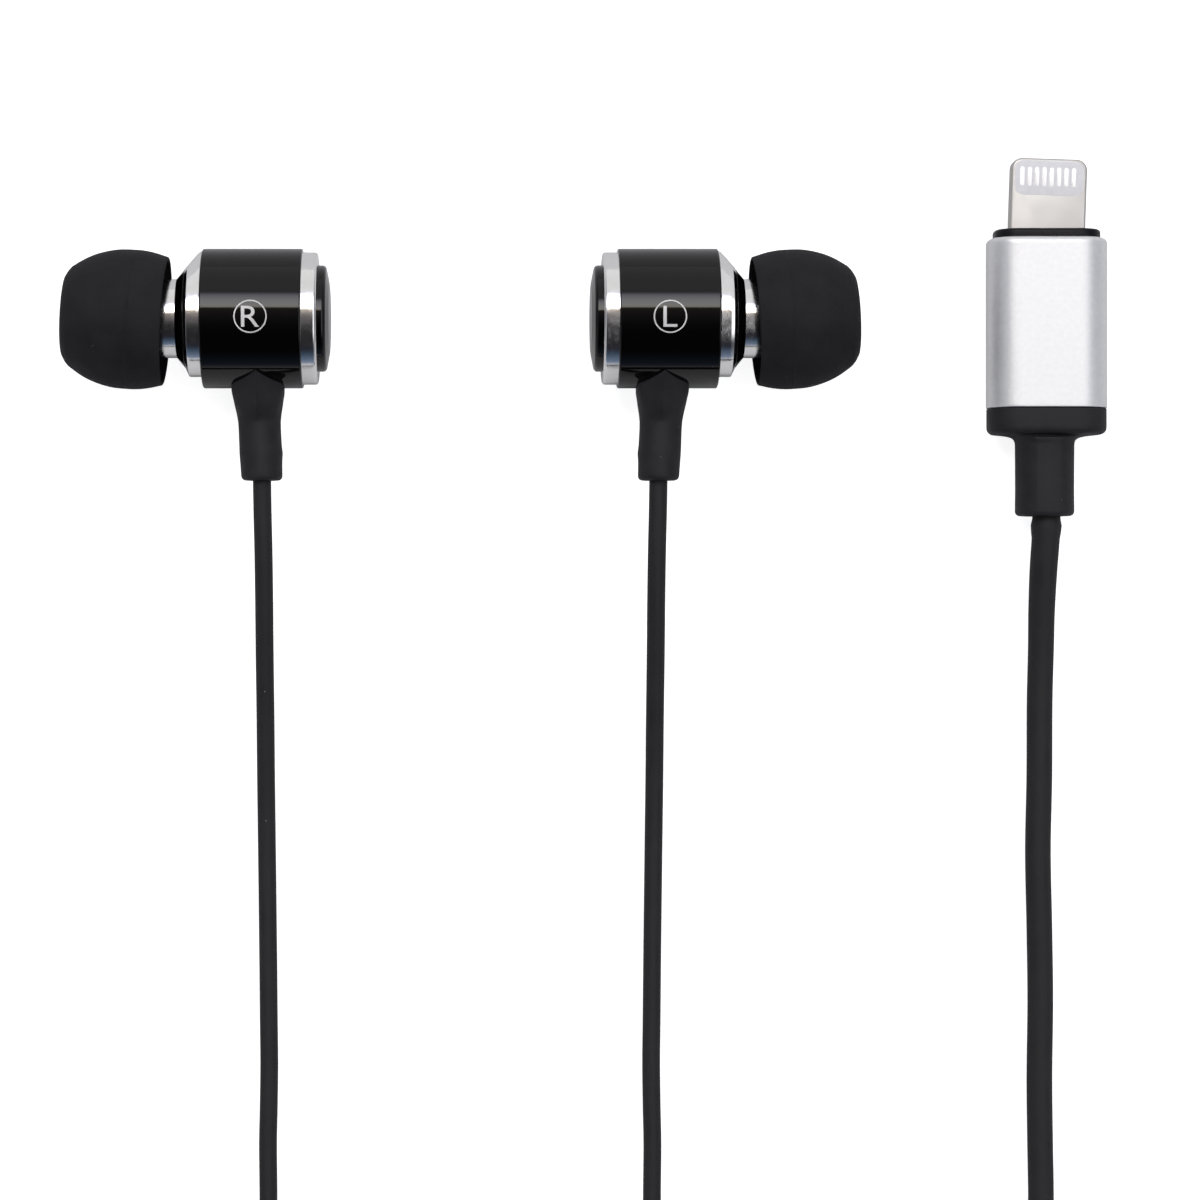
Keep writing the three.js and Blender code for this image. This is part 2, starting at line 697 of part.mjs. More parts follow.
// One window plate with a hole for each contact
function padGeometry(face) {
  const outline = roundedRect(windowWidth - 2 * seatGap, windowLength - 2 * seatGap, windowCorner - seatGap);
  const outer = face * (tongueThickness / 2);
  const inner = outer - face * padThickness;
  const low = Math.min(outer, inner);
  const high = Math.max(outer, inner);
  const holeWidth = contactWidth + 2 * contactGap;
  const hole = roundedRect(holeWidth, contactLength + 2 * contactGap, contactCorner + contactGap);
  let pad = solid(plate(outline, low, high, windowMiddle));
  contactPlaces().forEach((x) => {
    const cutter = plate(hole, low - cutOverrun, high + cutOverrun, windowMiddle, 1);
    cutter.translate(x, 0, 0);
    pad = pad.subtract(solid(cutter));
  });
  return shaped(pad);
}

// The board with the contacts of both faces soldered to it
function contactBoardGeometry() {
  const half = contactBoardThickness / 2;
  const front = windowTop - 2 * seatGap;
  const rear = windowTop - windowLength - contactBoardTail;
  const outline = roundedRect(contactBoardWidth, front - rear, seatGap);
  const reach = tongueThickness / 2 + contactProud;
  let board = solid(plate(outline, -half, half, (front + rear) / 2, 1));
  contactPlaces().forEach((x) => {
    const contact = plate(contactPill(), -reach, reach, windowMiddle, 1);
    contact.translate(x, 0, 0);
    board = board.add(solid(contact));
  });
  return shaped(board);
}

function collarGeometry() {
  const plateShape = roundedRect(collarWidth, collarThickness, collarCorner);
  const head = prismAlongY(plateShape, sleeveFront + seatGap, collarFront);
  const spigotShape = roundedRect(spigotWidth, spigotThickness, spigotCorner);
  const spigot = prismAlongY(spigotShape, sleeveFront - collarSpigotLength, sleeveFront + 2 * seatGap);
  const slotShape = roundedRect(tongueWidth + 2 * seatGap, tongueThickness + 2 * seatGap, seatGap);
  const slotRear = sleeveFront - collarSpigotLength - cutOverrun;
  const slot = prismAlongY(slotShape, slotRear, collarFront + cutOverrun, 1);
  return shaped(solid(head).add(solid(spigot)).subtract(solid(slot)));
}

function sleeveGeometry() {
  const shape = roundedRect(sleeveWidth, sleeveThickness, sleeveCorner);
  const innerWidth = sleeveWidth - 2 * sleeveWall;
  const innerThickness = sleeveThickness - 2 * sleeveWall;
  const boreShape = roundedRect(innerWidth, innerThickness, sleeveCorner - sleeveWall);
  const bore = prismAlongY(boreShape, sleeveRear - cutOverrun, sleeveFront + cutOverrun);
  return shaped(solid(prismAlongY(shape, sleeveRear, sleeveFront)).subtract(solid(bore)));
}

function bootGeometry() {
  const width = sleeveWidth - 2 * bootReveal;
  const thickness = sleeveThickness - 2 * bootReveal;
  const seat = sleeveRear - seatGap;
  const head = prismAlongY(roundedRect(width, thickness, sleeveCorner - bootReveal), bootRear, seat);
  const spigotShape = roundedRect(spigotWidth, spigotThickness, spigotCorner);
  const spigot = prismAlongY(spigotShape, seat - seatGap, sleeveRear + bootSpigotLength);
  const neck = turned([
    [bootRear + neckEdge, 0],
    [bootRear + neckEdge, neckRadius],
    [neckEnd + neckEdge, neckRadius],
    ...rounded(neckEnd, neckRadius - neckEdge, neckEnd + neckEdge, neckRadius).reverse().slice(1),
    [neckEnd, 0],
  ], innerSides);
  neck.rotateZ(Math.PI / 2);
  return shaped(solid(head).add(solid(spigot)).add(solid(neck)));
}

function crimpGeometry() {
  const bootInner = sleeveRear + bootSpigotLength + seatGap;
  const middle = bootInner + crimpLength;
  const geometry = turned([
    [bootInner, 0],
    [bootInner, crimpRadius],
    [middle, crimpRadius],
    [middle, cordCoreRadius],
    [bootInner + cordCoreLength, cordCoreRadius],
    [bootInner + cordCoreLength, 0],
  ], innerSides);
  geometry.rotateZ(Math.PI / 2);
  return geometry;
}

function chipGeometry() {
  const bottom = contactBoardThickness / 2 + seatGap;
  const middle = tongueRear - chipSize;
  return plate(roundedRect(chipSize, chipSize, seatGap), bottom, bottom + chipHeight, middle, 1);
}

function addPlug() {
  const plug = new THREE.Group();
  plug.position.set(plugOffset, 0, sleeveThickness / 2);
  piece(plug, 'plug_tongue', tongueGeometry(), 'nickel');
  piece(plug, 'contact_pad_front', padGeometry(1), 'padPlastic');
  piece(plug, 'contact_pad_back', padGeometry(-1), 'padPlastic');
  piece(plug, 'contact_board', contactBoardGeometry(), 'laminate');
  piece(plug, 'signal_chip', chipGeometry(), 'chip');
  piece(plug, 'plug_collar', collarGeometry(), 'blackGloss');
  piece(plug, 'plug_sleeve', sleeveGeometry(), 'beadBlasted');
  piece(plug, 'plug_boot', bootGeometry(), 'rubber');
  piece(plug, 'cord_crimp', crimpGeometry(), 'steel');
  group.add(plug);
}

// A free stretch of cord, face to face with what it meets
function addCord(name, route, diameter, stepLength, mirror = 1) {
  const points = route.map(([x, y, z]) => new THREE.Vector3(mirror * x, y, z));
  const extrudePath = new THREE.CatmullRomCurve3(points);
  const steps = Math.round(extrudePath.getLength() / stepLength);
  const section = new THREE.Shape();
  for (let side = 0; side < cordSides; side += 1) {
    const angle = (2 * Math.PI * side) / cordSides;
    const x = (diameter / 2) * Math.cos(angle);
    const y = (diameter / 2) * Math.sin(angle);
    if (side === 0) section.moveTo(x, y);
    else section.lineTo(x, y);
  }
  piece(group, name, new THREE.ExtrudeGeometry(section, { steps, extrudePath }), 'rubber');
}

// The outer shape of a two-layer coil of cord
function addCoil(name, coil, mirror = 1) {
  const low = coilBase;
  const high = coilBase + coilLayers * coil.diameter;
  const outline = [[low, coil.inner], [low, coil.outer], [high, coil.outer], [high, coil.inner]];
  const geometry = turned(outline, coilSides);
  geometry.rotateY(-Math.PI / 2);
  const mesh = piece(group, name, geometry, 'rubber');
  mesh.position.set(mirror * coil.x, coil.y, 0);
}

// A soft band around the turns, on one side of the coil along X
function addTie(name, coil, mirror, direction) {
  const width = coil.outer - coil.inner + 2 * softGap;
  const height = coilLayers * coil.diameter + 2 * softGap;
  const outer = roundedRect(width + 2 * tieThickness, height + 2 * tieThickness, 2 * tieThickness);
  const bore = prismAlongY(roundedRect(width, height, tieThickness), -tieWidth, tieWidth);
  const band = prismAlongY(outer, -tieWidth / 2, tieWidth / 2);
  const mesh = piece(group, name, shaped(solid(band).subtract(solid(bore))), 'tie');
  const middle = (coil.inner + coil.outer) / 2;
  mesh.position.set(mirror * coil.x + direction * middle, coil.y, tieThickness + height / 2);
}

function splitterGeometry() {
  const rings = splitterSections.map(([down, halfWidth, halfHeight]) => {
    return Array.from({ length: splitterSides }, (_, side) => {
      const angle = (2 * Math.PI * side) / splitterSides;
      return new THREE.Vector3(
        halfWidth * Math.cos(angle), splitterTop - down, halfHeight * Math.sin(angle));
    });
  });
  const geometry = lofted(rings);
  geometry.translate(0, 0, splitterHeight);
  return geometry;
}

function addCords() {
  const sides = [['left', 1], ['right', -1]];
  sides.forEach(([side, mirror]) => {
    addCord(`branch_cord_${side}`, branchRoute, branchDiameter, 2 * branchDiameter, mirror);
    addCord(`branch_tail_${side}`, branchTailRoute, branchDiameter, 2 * branchDiameter, mirror);
    addCoil(`branch_coil_${side}`, branchCoil, mirror);
    addTie(`branch_coil_tie_${side}`, branchCoil, mirror, mirror);
  });
  addCord('main_cord', mainRoute, mainDiameter, 2 * mainDiameter);
  addCord('main_tail', mainTailRoute, mainDiameter, 2 * mainDiameter);
  addCoil('main_coil', mainCoil);
  addTie('main_coil_tie', mainCoil, 1, -1);
  piece(group, 'splitter', splitterGeometry(), 'rubber');
}

addBud('left', 0);
addBud('right', Math.PI);
addPlug();
addCords();

export default group;
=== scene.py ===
# %% [markdown]
# # Wired earphones
# Two in-ear buds hang on thin branch cords. A splitter joins the branches to a thicker main cord
# that ends in a flat plug. The solids come from CAD and fix where each piece is. Here each piece
# gets the finer surface and the finish of the real one. Sizes are written in millimetres, as on a
# maker's drawing, and turned into metres where a mesh is made.

# %% Load the solids
import math

import bmesh
import bpy
from mathutils import Matrix, Vector


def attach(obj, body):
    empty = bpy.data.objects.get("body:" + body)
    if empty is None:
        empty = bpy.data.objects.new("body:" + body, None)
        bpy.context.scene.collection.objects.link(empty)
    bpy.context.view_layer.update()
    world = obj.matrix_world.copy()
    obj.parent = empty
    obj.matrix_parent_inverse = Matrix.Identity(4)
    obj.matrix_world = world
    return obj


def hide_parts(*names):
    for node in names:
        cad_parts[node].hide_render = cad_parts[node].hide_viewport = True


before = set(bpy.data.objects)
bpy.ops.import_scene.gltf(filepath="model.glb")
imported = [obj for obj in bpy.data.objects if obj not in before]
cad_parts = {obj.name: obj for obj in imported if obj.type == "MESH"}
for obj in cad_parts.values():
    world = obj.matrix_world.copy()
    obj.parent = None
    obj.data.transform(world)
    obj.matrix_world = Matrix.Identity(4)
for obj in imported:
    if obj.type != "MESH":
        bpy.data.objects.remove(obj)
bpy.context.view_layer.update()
MM = 0.001
SIDES = ("left", "right")

# %% [markdown]
# ## Camera
# The earphones lie on a table and the camera hangs straight above them. It could look from any
# height, but a long lens from about 30 cm keeps the buds round and shows a little of the inside of
# each ear tip. The shift slides the picture sideways, so that the lens stays square to the table.

# %% Camera
LENS_HEIGHT = 304.0
AXIS_HEIGHT = 6.1
camera_data = bpy.data.cameras.new("camera")
camera = bpy.data.objects.new("camera", camera_data)
bpy.context.scene.collection.objects.link(camera)
bpy.context.scene.camera = camera
camera.location = (0, -24.64 * MM, (LENS_HEIGHT + AXIS_HEIGHT) * MM)
camera_data.lens = 104.15
camera_data.sensor_width = 36
camera_data.shift_x = 0.1165
camera_data.clip_start = 0.01
camera_data.clip_end = 20
print("camera", tuple(round(value, 4) for value in camera.location), camera_data.lens, "mm")

# %% [markdown]
# ## Shapes
# Four small tools make nearly every mesh. `mesh_piece` turns points and faces into an object that
# moves with its body. `turned` spins an outline about the axis of a bud, as a lathe does.
# `lofted` runs a skin over sections that all have the same number of points, as a moulded or drawn
# piece needs. `rounded_path` puts a small arc on each corner of an outline, because no real edge is
# sharp and the arcs are what catch the light. A narrow flat strip goes beside every arc: smooth
# shading blends the directions of neighbouring faces, and without the strip a long straight side
# would shine as if it were bent.


# %% Mesh tools
def mesh_piece(name, points, faces, material, replaces=(), body="root", crease=32):
    mesh = bpy.data.meshes.new(name)
    mesh.from_pydata([Vector(point) * MM for point in points], [], faces)
    tidy = bmesh.new()
    tidy.from_mesh(mesh)
    bmesh.ops.remove_doubles(tidy, verts=tidy.verts, dist=0.0005 * MM)
    bmesh.ops.recalc_face_normals(tidy, faces=tidy.faces)
    tidy.to_mesh(mesh)
    tidy.free()
    mesh.shade_smooth()
    mesh.set_sharp_from_angle(angle=math.radians(crease))
    piece = bpy.data.objects.new(name, mesh)
    bpy.context.scene.collection.objects.link(piece)
    mesh.materials.append(material)
    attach(piece, body)
    if replaces:
        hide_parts(*replaces)
    return piece


def rounded_path(corners, closed=True, steps=5):
    """corners are (a, b) or (a, b, radius); each corner with a radius becomes an arc."""
    path = []
    count = len(corners)
    for index, corner in enumerate(corners):
        here = Vector(corner[:2])
        radius = corner[2] if len(corner) > 2 else 0
        if radius <= 0 or (not closed and index in (0, count - 1)):
            path.append(tuple(here))
            continue
        before = (Vector(corners[index - 1][:2]) - here)
        after = (Vector(corners[(index + 1) % count][:2]) - here)
        angle = before.angle(after)
        reach = min(radius / math.tan(angle / 2), 0.49 * before.length, 0.49 * after.length)
        radius = reach * math.tan(angle / 2)
        start = here + before.normalized() * reach
        end = here + after.normalized() * reach
        centre = here + (before.normalized() + after.normalized()).normalized() * (
            radius / math.sin(angle / 2))
        strips = [min(0.3 * radius, 0.04 * (side.length - reach)) for side in (before, after)]
        path.append(tuple(start + before.normalized() * strips[0]))
        for step in range(steps + 1):
            along = (start - centre).lerp(end - centre, step / steps)
            path.append(tuple(centre + along.normalized() * radius))
        path.append(tuple(end + after.normalized() * strips[1]))
    return path


def turned(outline, place, closed=True, segments=160):
    """Points and faces of an outline of (station, radius) spun about the axis of a bud.

    A third number is the radius on the side turned up the table; the radius blends into it.
    """
    points, faces = [], []
    for station, radius, *top in outline:
        for segment in range(segments):
            angle = 2 * math.pi * segment / segments
            reach = radius + (top[0] - radius) * max(0, math.cos(angle)) ** 4 if top else radius
            points.append(place @ Vector((station, reach * math.cos(angle), reach * math.sin(angle))))
    rings = len(outline) if closed else len(outline) - 1
    for ring in range(rings):
        below = ring * segments
        above = ((ring + 1) % len(outline)) * segments
        for segment in range(segments):
            beside = (segment + 1) % segments
            faces.append((below + segment, below + beside, above + beside, above + segment))
    return points, faces


def lofted(sections, caps=True):
    count = len(sections[0])
    points = [point for section in sections for point in section]
    faces = []
    for ring in range(len(sections) - 1):
        for side in range(count):
            beside = (side + 1) % count
            first, second = ring * count, (ring + 1) * count
            faces.append((first + side, first + beside, second + beside, second + side))
    if caps:
        faces.append(tuple(range(count)))
        faces.append(tuple(range((len(sections) - 1) * count, len(sections) * count)))
    return points, faces


def rounded_rectangle(width, height, corner, steps=12):
    """Points of a rounded rectangle about (0, 0), the same count whatever its size."""
    corner = max(min(corner, width / 2, height / 2), 0.001)
    points = []
    for quarter, (side_x, side_y) in enumerate(((1, 1), (-1, 1), (-1, -1), (1, -1))):
        centre = Vector((side_x * (width / 2 - corner), side_y * (height / 2 - corner)))
        flats = (width / 2 - corner, height / 2 - corner)
        strips = [min(0.12, 0.3 * flats[(quarter + turn) % 2]) for turn in (1, 0)]
        arc = []
        for step in range(steps + 1):
            angle = math.pi / 2 * (quarter + step / steps)
            arc.append(centre + corner * Vector((math.cos(angle), math.sin(angle))))
        first = Vector((math.sin(math.pi / 2 * quarter), -math.cos(math.pi / 2 * quarter)))
        last = Vector((-math.cos(math.pi / 2 * quarter), -math.sin(math.pi / 2 * quarter)))
        points += [arc[0] + first * strips[0], *arc, arc[-1] + last * strips[1]]
    return points


print("mesh tools ready")

# %% [markdown]
# ## Finishes
# Every finish starts from the same few nodes. A fine noise lifts the surface a few microns, so that
# it breaks the light as moulded rubber or blasted metal does. A coarser noise shifts the colour and
# the roughness a little, as handling does. Dust and lint are small pale specks: a cell pattern
# picks a few cells and puts one speck in each. All of it is measured in millimetres on the object.


# %% Finish tools
PATCH_RANGE = (0.3, 0.7)  # where the coarse noise starts and ends its change
SPECKS_PER_MM = 1.1
SPECK_RADII = (0.07, 0.04)  # where a speck starts and where it is full


def wire(tree, kind, inputs, **settings):
    """Put a node in a tree. Each input is given as a value or as the output that feeds it."""
    node = tree.nodes.new(f"ShaderNode{kind}")
    for setting, value in settings.items():
        setattr(node, setting, value)
    for socket, value in inputs.items():
        if isinstance(value, bpy.types.NodeSocket):
            tree.links.new(value, node.inputs[socket])
        else:
            node.inputs[socket].default_value = value
    return node


def map_range(tree, value, start, end, **more):
    inputs = {"Value": value, "From Min": start, "From Max": end}
    return wire(tree, "MapRange", inputs, **more)


def finish(name, colour, roughness, metallic=0.0, specular=0.5, grain=0.0, grain_size=0.1,
           stretch=(1, 1, 1), vary=0.15, rough_vary=0.08, patch_size=2.0, specks=0.0,
           speck_colour=(0.3, 0.3, 0.29)):
    material = bpy.data.materials.new(name)
    material.use_nodes = True
    tree = material.node_tree
    shader = tree.nodes["Principled BSDF"]
    shader.inputs["Metallic"].default_value = metallic
    shader.inputs["Specular IOR Level"].default_value = specular
    place = wire(tree, "TexCoord", {}).outputs["Object"]
    scaled = wire(tree, "Mapping", {"Vector": place, "Scale": [1 / MM] * 3}).outputs["Vector"]
    coarse = wire(tree, "TexNoise", {"Vector": scaled, "Scale": 1 / patch_size, "Detail": 4})
    patches = coarse.outputs["Fac"]
    tint = wire(tree, "ValToRGB", {"Fac": patches})
    for element, position, change in zip(tint.color_ramp.elements, PATCH_RANGE, (-vary, vary)):
        element.position = position
        element.color = [min(part * (1 + change), 1) for part in colour] + [1]
    skin = tint.outputs["Color"]
    if specks:
        cells = wire(tree, "TexVoronoi", {"Vector": scaled, "Scale": SPECKS_PER_MM})
        near = map_range(tree, cells.outputs["Distance"], *SPECK_RADII)
        pick = wire(tree, "SeparateColor", {"Color": cells.outputs["Color"]})
        chosen = wire(tree, "Math", {0: pick.outputs["Red"], 1: specks}, operation="LESS_THAN")
        both = wire(tree, "Math", {0: near.outputs["Result"], 1: chosen.outputs["Value"]},
                    operation="MULTIPLY")
        dusty = wire(tree, "Mix", {"Factor": both.outputs["Value"], "A": skin, "B": (*speck_colour, 1)},
                     data_type="RGBA")
        skin = dusty.outputs["Result"]
    tree.links.new(skin, shader.inputs["Base Color"])
    worn = map_range(tree, patches, *PATCH_RANGE)
    worn.inputs["To Min"].default_value = max(roughness - rough_vary, 0.02)
    worn.inputs["To Max"].default_value = min(roughness + rough_vary, 1)
    tree.links.new(worn.outputs["Result"], shader.inputs["Roughness"])
    if grain:
        pulled = wire(tree, "Mapping", {"Vector": place, "Scale": [pull / MM for pull in stretch]})
        fine = wire(tree, "TexNoise", {"Vector": pulled.outputs["Vector"], "Scale": 1 / grain_size,
                                       "Detail": 2})
        bump = wire(tree, "Bump", {"Height": fine.outputs["Fac"], "Strength": 1, "Distance": grain * MM})
        tree.links.new(bump.outputs["Normal"], shader.inputs["Normal"])
    return material


print("finish tools ready")

# %% [markdown]
# ## Light
# Glossy black and chrome show nothing but what stands around them, so the room is drawn first: a
# bright softbox on the far side, pale walls, and a dark gap above, where the camera hangs. Lamps
# could do this, but a sky that only depends on direction puts the same clean bands on both buds.
# A second, softer panel hangs above the plug, because blasted metal wants an even light.

# %% Bands of light
ROOM_BANDS = (  # degrees from straight up, towards the far side (+) or the near side (-)
    (-180, (0.7, 0.7, 0.72)), (-92, (0.7, 0.7, 0.72)), (-89, (0.25, 0.3, 0.38)),
    (-85, (0.13, 0.17, 0.25)), (-72, (0.05, 0.078, 0.12)), (-61, (0.018, 0.02, 0.03)),
    (-54, (0.018, 0.018, 0.022)), (-42, (0.014, 0.014, 0.016)), (-24, (0.022, 0.022, 0.023)),
    (-14, (0.052, 0.05, 0.05)), (-3.5, (0.115, 0.105, 0.11)), (5, (0.19, 0.165, 0.155)),
    (12.8, (0.32, 0.27, 0.22)), (15, (5.7, 5.2, 4.5)), (18, (5.6, 5.5, 5.4)), (26, (4.9, 4.9, 5.1)),
    (33, (3.5, 3.5, 3.9)), (36, (2.3, 2.3, 2.7)), (38.5, (1.1, 1.1, 1.25)), (40.5, (0.66, 0.66, 0.72)),
    (46, (0.74, 0.73, 0.73)), (60, (0.7, 0.7, 0.7)), (90, (0.76, 0.76, 0.76)), (180, (0.7, 0.7, 0.72)),
)
PLUG_BANDS = (
    (-180, (0.7, 0.7, 0.72)), (-92, (0.7, 0.7, 0.72)), (-88, (0.3, 0.33, 0.4)), (-65, (0.08, 0.09, 0.1)),
    (-50, (0.1, 0.1, 0.11)), (-29, (1.42, 1.42, 1.46)), (31, (1.58, 1.57, 1.61)), (38, (0.68, 0.68, 0.7)),
    (180, (0.7, 0.7, 0.72)),
)
print("bands", len(ROOM_BANDS), "above the buds and", len(PLUG_BANDS), "above the plug")

# %% [markdown]
# The sky turns a direction into an angle about the X axis and looks the angle up in the bands.
# Directions far to either side meet a plain grey wall, which closes the room at the ends of the
# buds. The eye itself sees plain white behind everything.

# %% Room
PLUG_PANEL_SIDE = (0.125, 0.15)
WALL_MIDDLE = 0.04
WALL_SIDES = (0.4, 0.62)
WALL_COLOUR = (0.31, 0.32, 0.35, 1)
WHITE = (1, 1, 1, 1)
world = bpy.data.worlds.new("studio")
bpy.context.scene.world = world
world.use_nodes = True
sky = world.node_tree
direction = wire(sky, "TexCoord", {}).outputs["Generated"]
axes = wire(sky, "SeparateXYZ", {"Vector": direction}).outputs
lean = wire(sky, "Math", {0: axes["Y"], 1: axes["Z"]}, operation="ARCTAN2").outputs["Value"]
share = map_range(sky, lean, -math.pi, math.pi).outputs["Result"]


def band_ramp(table):
    bands = wire(sky, "ValToRGB", {"Fac": share})
    elements = bands.color_ramp.elements
    for index, (angle, colour) in enumerate(table):
        position = (angle + 180) / 360
        element = elements[index] if index < 2 else elements.new(position)
        element.position = position
        element.color = (*colour, 1)
    return bands.outputs["Color"]


def blend(share, first, second):
    return wire(sky, "Mix", {"Factor": share, "A": first, "B": second}, data_type="RGBA").outputs["Result"]


over_plug = map_range(sky, axes["X"], *PLUG_PANEL_SIDE, interpolation_type="SMOOTHSTEP")
ceiling = blend(over_plug.outputs["Result"], band_ramp(ROOM_BANDS), band_ramp(PLUG_BANDS))
offset = wire(sky, "Math", {0: axes["X"], 1: WALL_MIDDLE}, operation="SUBTRACT")
sideways = wire(sky, "Math", {0: offset.outputs["Value"]}, operation="ABSOLUTE")
wall = map_range(sky, sideways.outputs["Value"], *WALL_SIDES, interpolation_type="SMOOTHSTEP")
room = blend(wall.outputs["Result"], ceiling, WALL_COLOUR)
backdrop = blend(wire(sky, "LightPath", {}).outputs["Is Camera Ray"], room, WHITE)
sky.links.new(backdrop, sky.nodes["Background"].inputs["Color"])
bpy.context.scene.view_settings.view_transform = "Standard"
bpy.context.scene.view_settings.look = "None"
print("room nodes", len(sky.nodes))

# %% [markdown]
# The table is a pale sheet that glows for the eye, as a light table does, so that shadows on it
# stay faint, and it throws no more light up at the metal than paper would.

# %% Table
TABLE_REACH = 3000
TABLE_GLOW = 0.86
table_points = [Vector((x, y, 0)) * TABLE_REACH * MM for x, y in ((-1, -1), (1, -1), (1, 1), (-1, 1))]
table_mesh = bpy.data.meshes.new("table")
table_mesh.from_pydata(table_points, [], [(0, 1, 2, 3)])
table = bpy.data.objects.new("table", table_mesh)
bpy.context.scene.collection.objects.link(table)
table_sheet = finish("table_sheet", (0.74, 0.74, 0.74), 0.85, specular=0.1, vary=0.004, patch_size=30)
sheet = table_sheet.node_tree
seen = wire(sheet, "LightPath", {}).outputs["Is Camera Ray"]
glow = wire(sheet, "Math", {0: seen, 1: TABLE_GLOW}, operation="MULTIPLY")
sheet_shader = sheet.nodes["Principled BSDF"]
sheet_shader.inputs["Emission Color"].default_value = WHITE
sheet.links.new(glow.outputs["Value"], sheet_shader.inputs["Emission Strength"])
table_mesh.materials.append(table_sheet)
print("table", 2 * TABLE_REACH / 1000, "m wide")

# %% [markdown]
# ## Cords
# Both cords are soft black rubber over fine copper. Each branch is about 35 cm, the main cord about
# 83 cm, and together they reach from an ear to a pocket. They leave the buds and the plug straight,
# sink to the table and lie there in shallow waves. The spare length is wound into neat two-layer
# coils, as it is for storage. A curve fits this better than a mesh: its line is the core of the
# cord and its bevel is the jacket.

# %% Cord rubber and routes
cord_rubber = finish("cord_rubber", (0.018, 0.0178, 0.0192), 0.62, specular=0.3, grain=0.012,
                     grain_size=0.09, vary=0.2, specks=0.05, patch_size=3)
BRANCH_DIAMETER = 1.6
MAIN_DIAMETER = 2.3
BRANCH_ROUTE = [
    (17.36, -13.2, 6.1), (17.35, -14.5, 6.1), (17.31, -17, 6.06), (17.25, -20, 5.85),
    (17.22, -24.6, 5.15), (17.24, -29, 4.1), (17.25, -35, 2.55), (17.26, -40.7, 1.4),
    (17.22, -46, 0.92), (17.16, -51.4, 0.82), (17.1, -56.7, 0.82), (17.05, -62, 0.82),
    (17.01, -66, 0.82), (17.06, -70, 0.82), (17.12, -72.8, 0.82), (17.08, -78, 0.84),
    (17.1, -82, 1.05), (17.1, -85.2, 1.4),
]
BRANCH_TAIL = [
    (17.1, -98.8, 3), (17.05, -102, 2.5), (16.6, -105.5, 1.6), (15, -109, 1), (12.2, -112.2, 0.82),
    (8.6, -114.6, 0.82), (5, -116.8, 0.86), (2.6, -119.2, 1.2), (1.5, -121, 1.6), (1.35, -123.2, 1.7),
]
MAIN_ROUTE = [
    (51.85, -16.2, 3), (51.85, -17.5, 3), (51.8, -19.2, 2.95), (51.66, -22, 2.6), (51.6, -25.5, 2),
    (51.62, -29, 1.5), (51.56, -33.5, 1.2), (51.53, -40.6, 1.17), (51.41, -46.9, 1.17),
    (51.54, -54, 1.17), (51.62, -60.2, 1.17), (51.54, -67.3, 1.17), (51.6, -72.7, 1.17),
    (51.68, -78, 1.17), (51.6, -88, 1.17), (51.6, -98, 1.17), (51.6, -107, 1.25), (51.6, -112, 1.5),
    (51.6, -116, 1.8),
]
MAIN_TAIL = [
    (0, -132.2, 1.7), (0, -133.3, 1.7), (0, -135.2, 1.55), (0.9, -138.4, 1.25), (3.2, -141.4, 1.17),
    (6.6, -143.4, 1.17), (10.6, -144.05, 1.2), (14.5, -144.1, 1.7), (18.5, -144.1, 2.9),
    (21.5, -144.1, 3.7), (23.5, -144.05, 4.05),
]
print("routes", len(BRANCH_ROUTE + BRANCH_TAIL), "points to a branch and", len(MAIN_ROUTE + MAIN_TAIL))

# %% [markdown]
# A coil is wound as a hand winds it: inwards on the table, up in a quarter turn, and out again on
# top of the first layer. A smooth line then runs through all the points, and the cord is drawn
# along it. The jacket is a little thicker where it comes out of the plug.


# %% Coil and cord tools
CLIMB = 0.25  # turns
POINTS_PER_TURN = 16


def ease(share):
    """From 0 to 1 with a soft start and a soft end."""
    return share * share * (3 - 2 * share)


def coil_points(centre, start, direction, turns, outer, inner, low, high):
    half = (turns - CLIMB) / 2
    count = round(turns * POINTS_PER_TURN)
    points = []
    for step in range(count + 1):
        turn = turns * step / count
        angle = start + direction * 2 * math.pi * turn
        if turn <= half:
            radius, height = outer + (inner - outer) * turn / half, low
        elif turn <= half + CLIMB:
            radius, height = inner, low + (high - low) * ease((turn - half) / CLIMB)
        else:
            radius, height = inner + (outer - inner) * (turn - half - CLIMB) / half, high
        points.append((centre[0] + radius * math.cos(angle), centre[1] + radius * math.sin(angle), height))
    return points


def through(points, step=0.5):
    """A smooth line through points, with even knots by the square root of their distance."""
    points = [Vector(point) for point in points]
    ends = [2 * points[0] - points[1], *points, 2 * points[-1] - points[-2]]
    line = []
    for p0, p1, p2, p3 in zip(ends, ends[1:], ends[2:], ends[3:]):
        t1 = math.sqrt((p1 - p0).length)
        t2 = t1 + math.sqrt((p2 - p1).length)
        t3 = t2 + math.sqrt((p3 - p2).length)
        count = max(2, round((p2 - p1).length / step))
        for index in range(count):
            t = t1 + (t2 - t1) * index / count
            a1 = p0.lerp(p1, t / t1)
            a2 = p1.lerp(p2, (t - t1) / (t2 - t1))
            a3 = p2.lerp(p3, (t - t2) / (t3 - t2))
            b1 = a1.lerp(a2, t / t2)
            b2 = a2.lerp(a3, (t - t1) / (t3 - t1))
            line.append(b1.lerp(b2, (t - t1) / (t2 - t1)))
    line.append(points[-1])
    return line


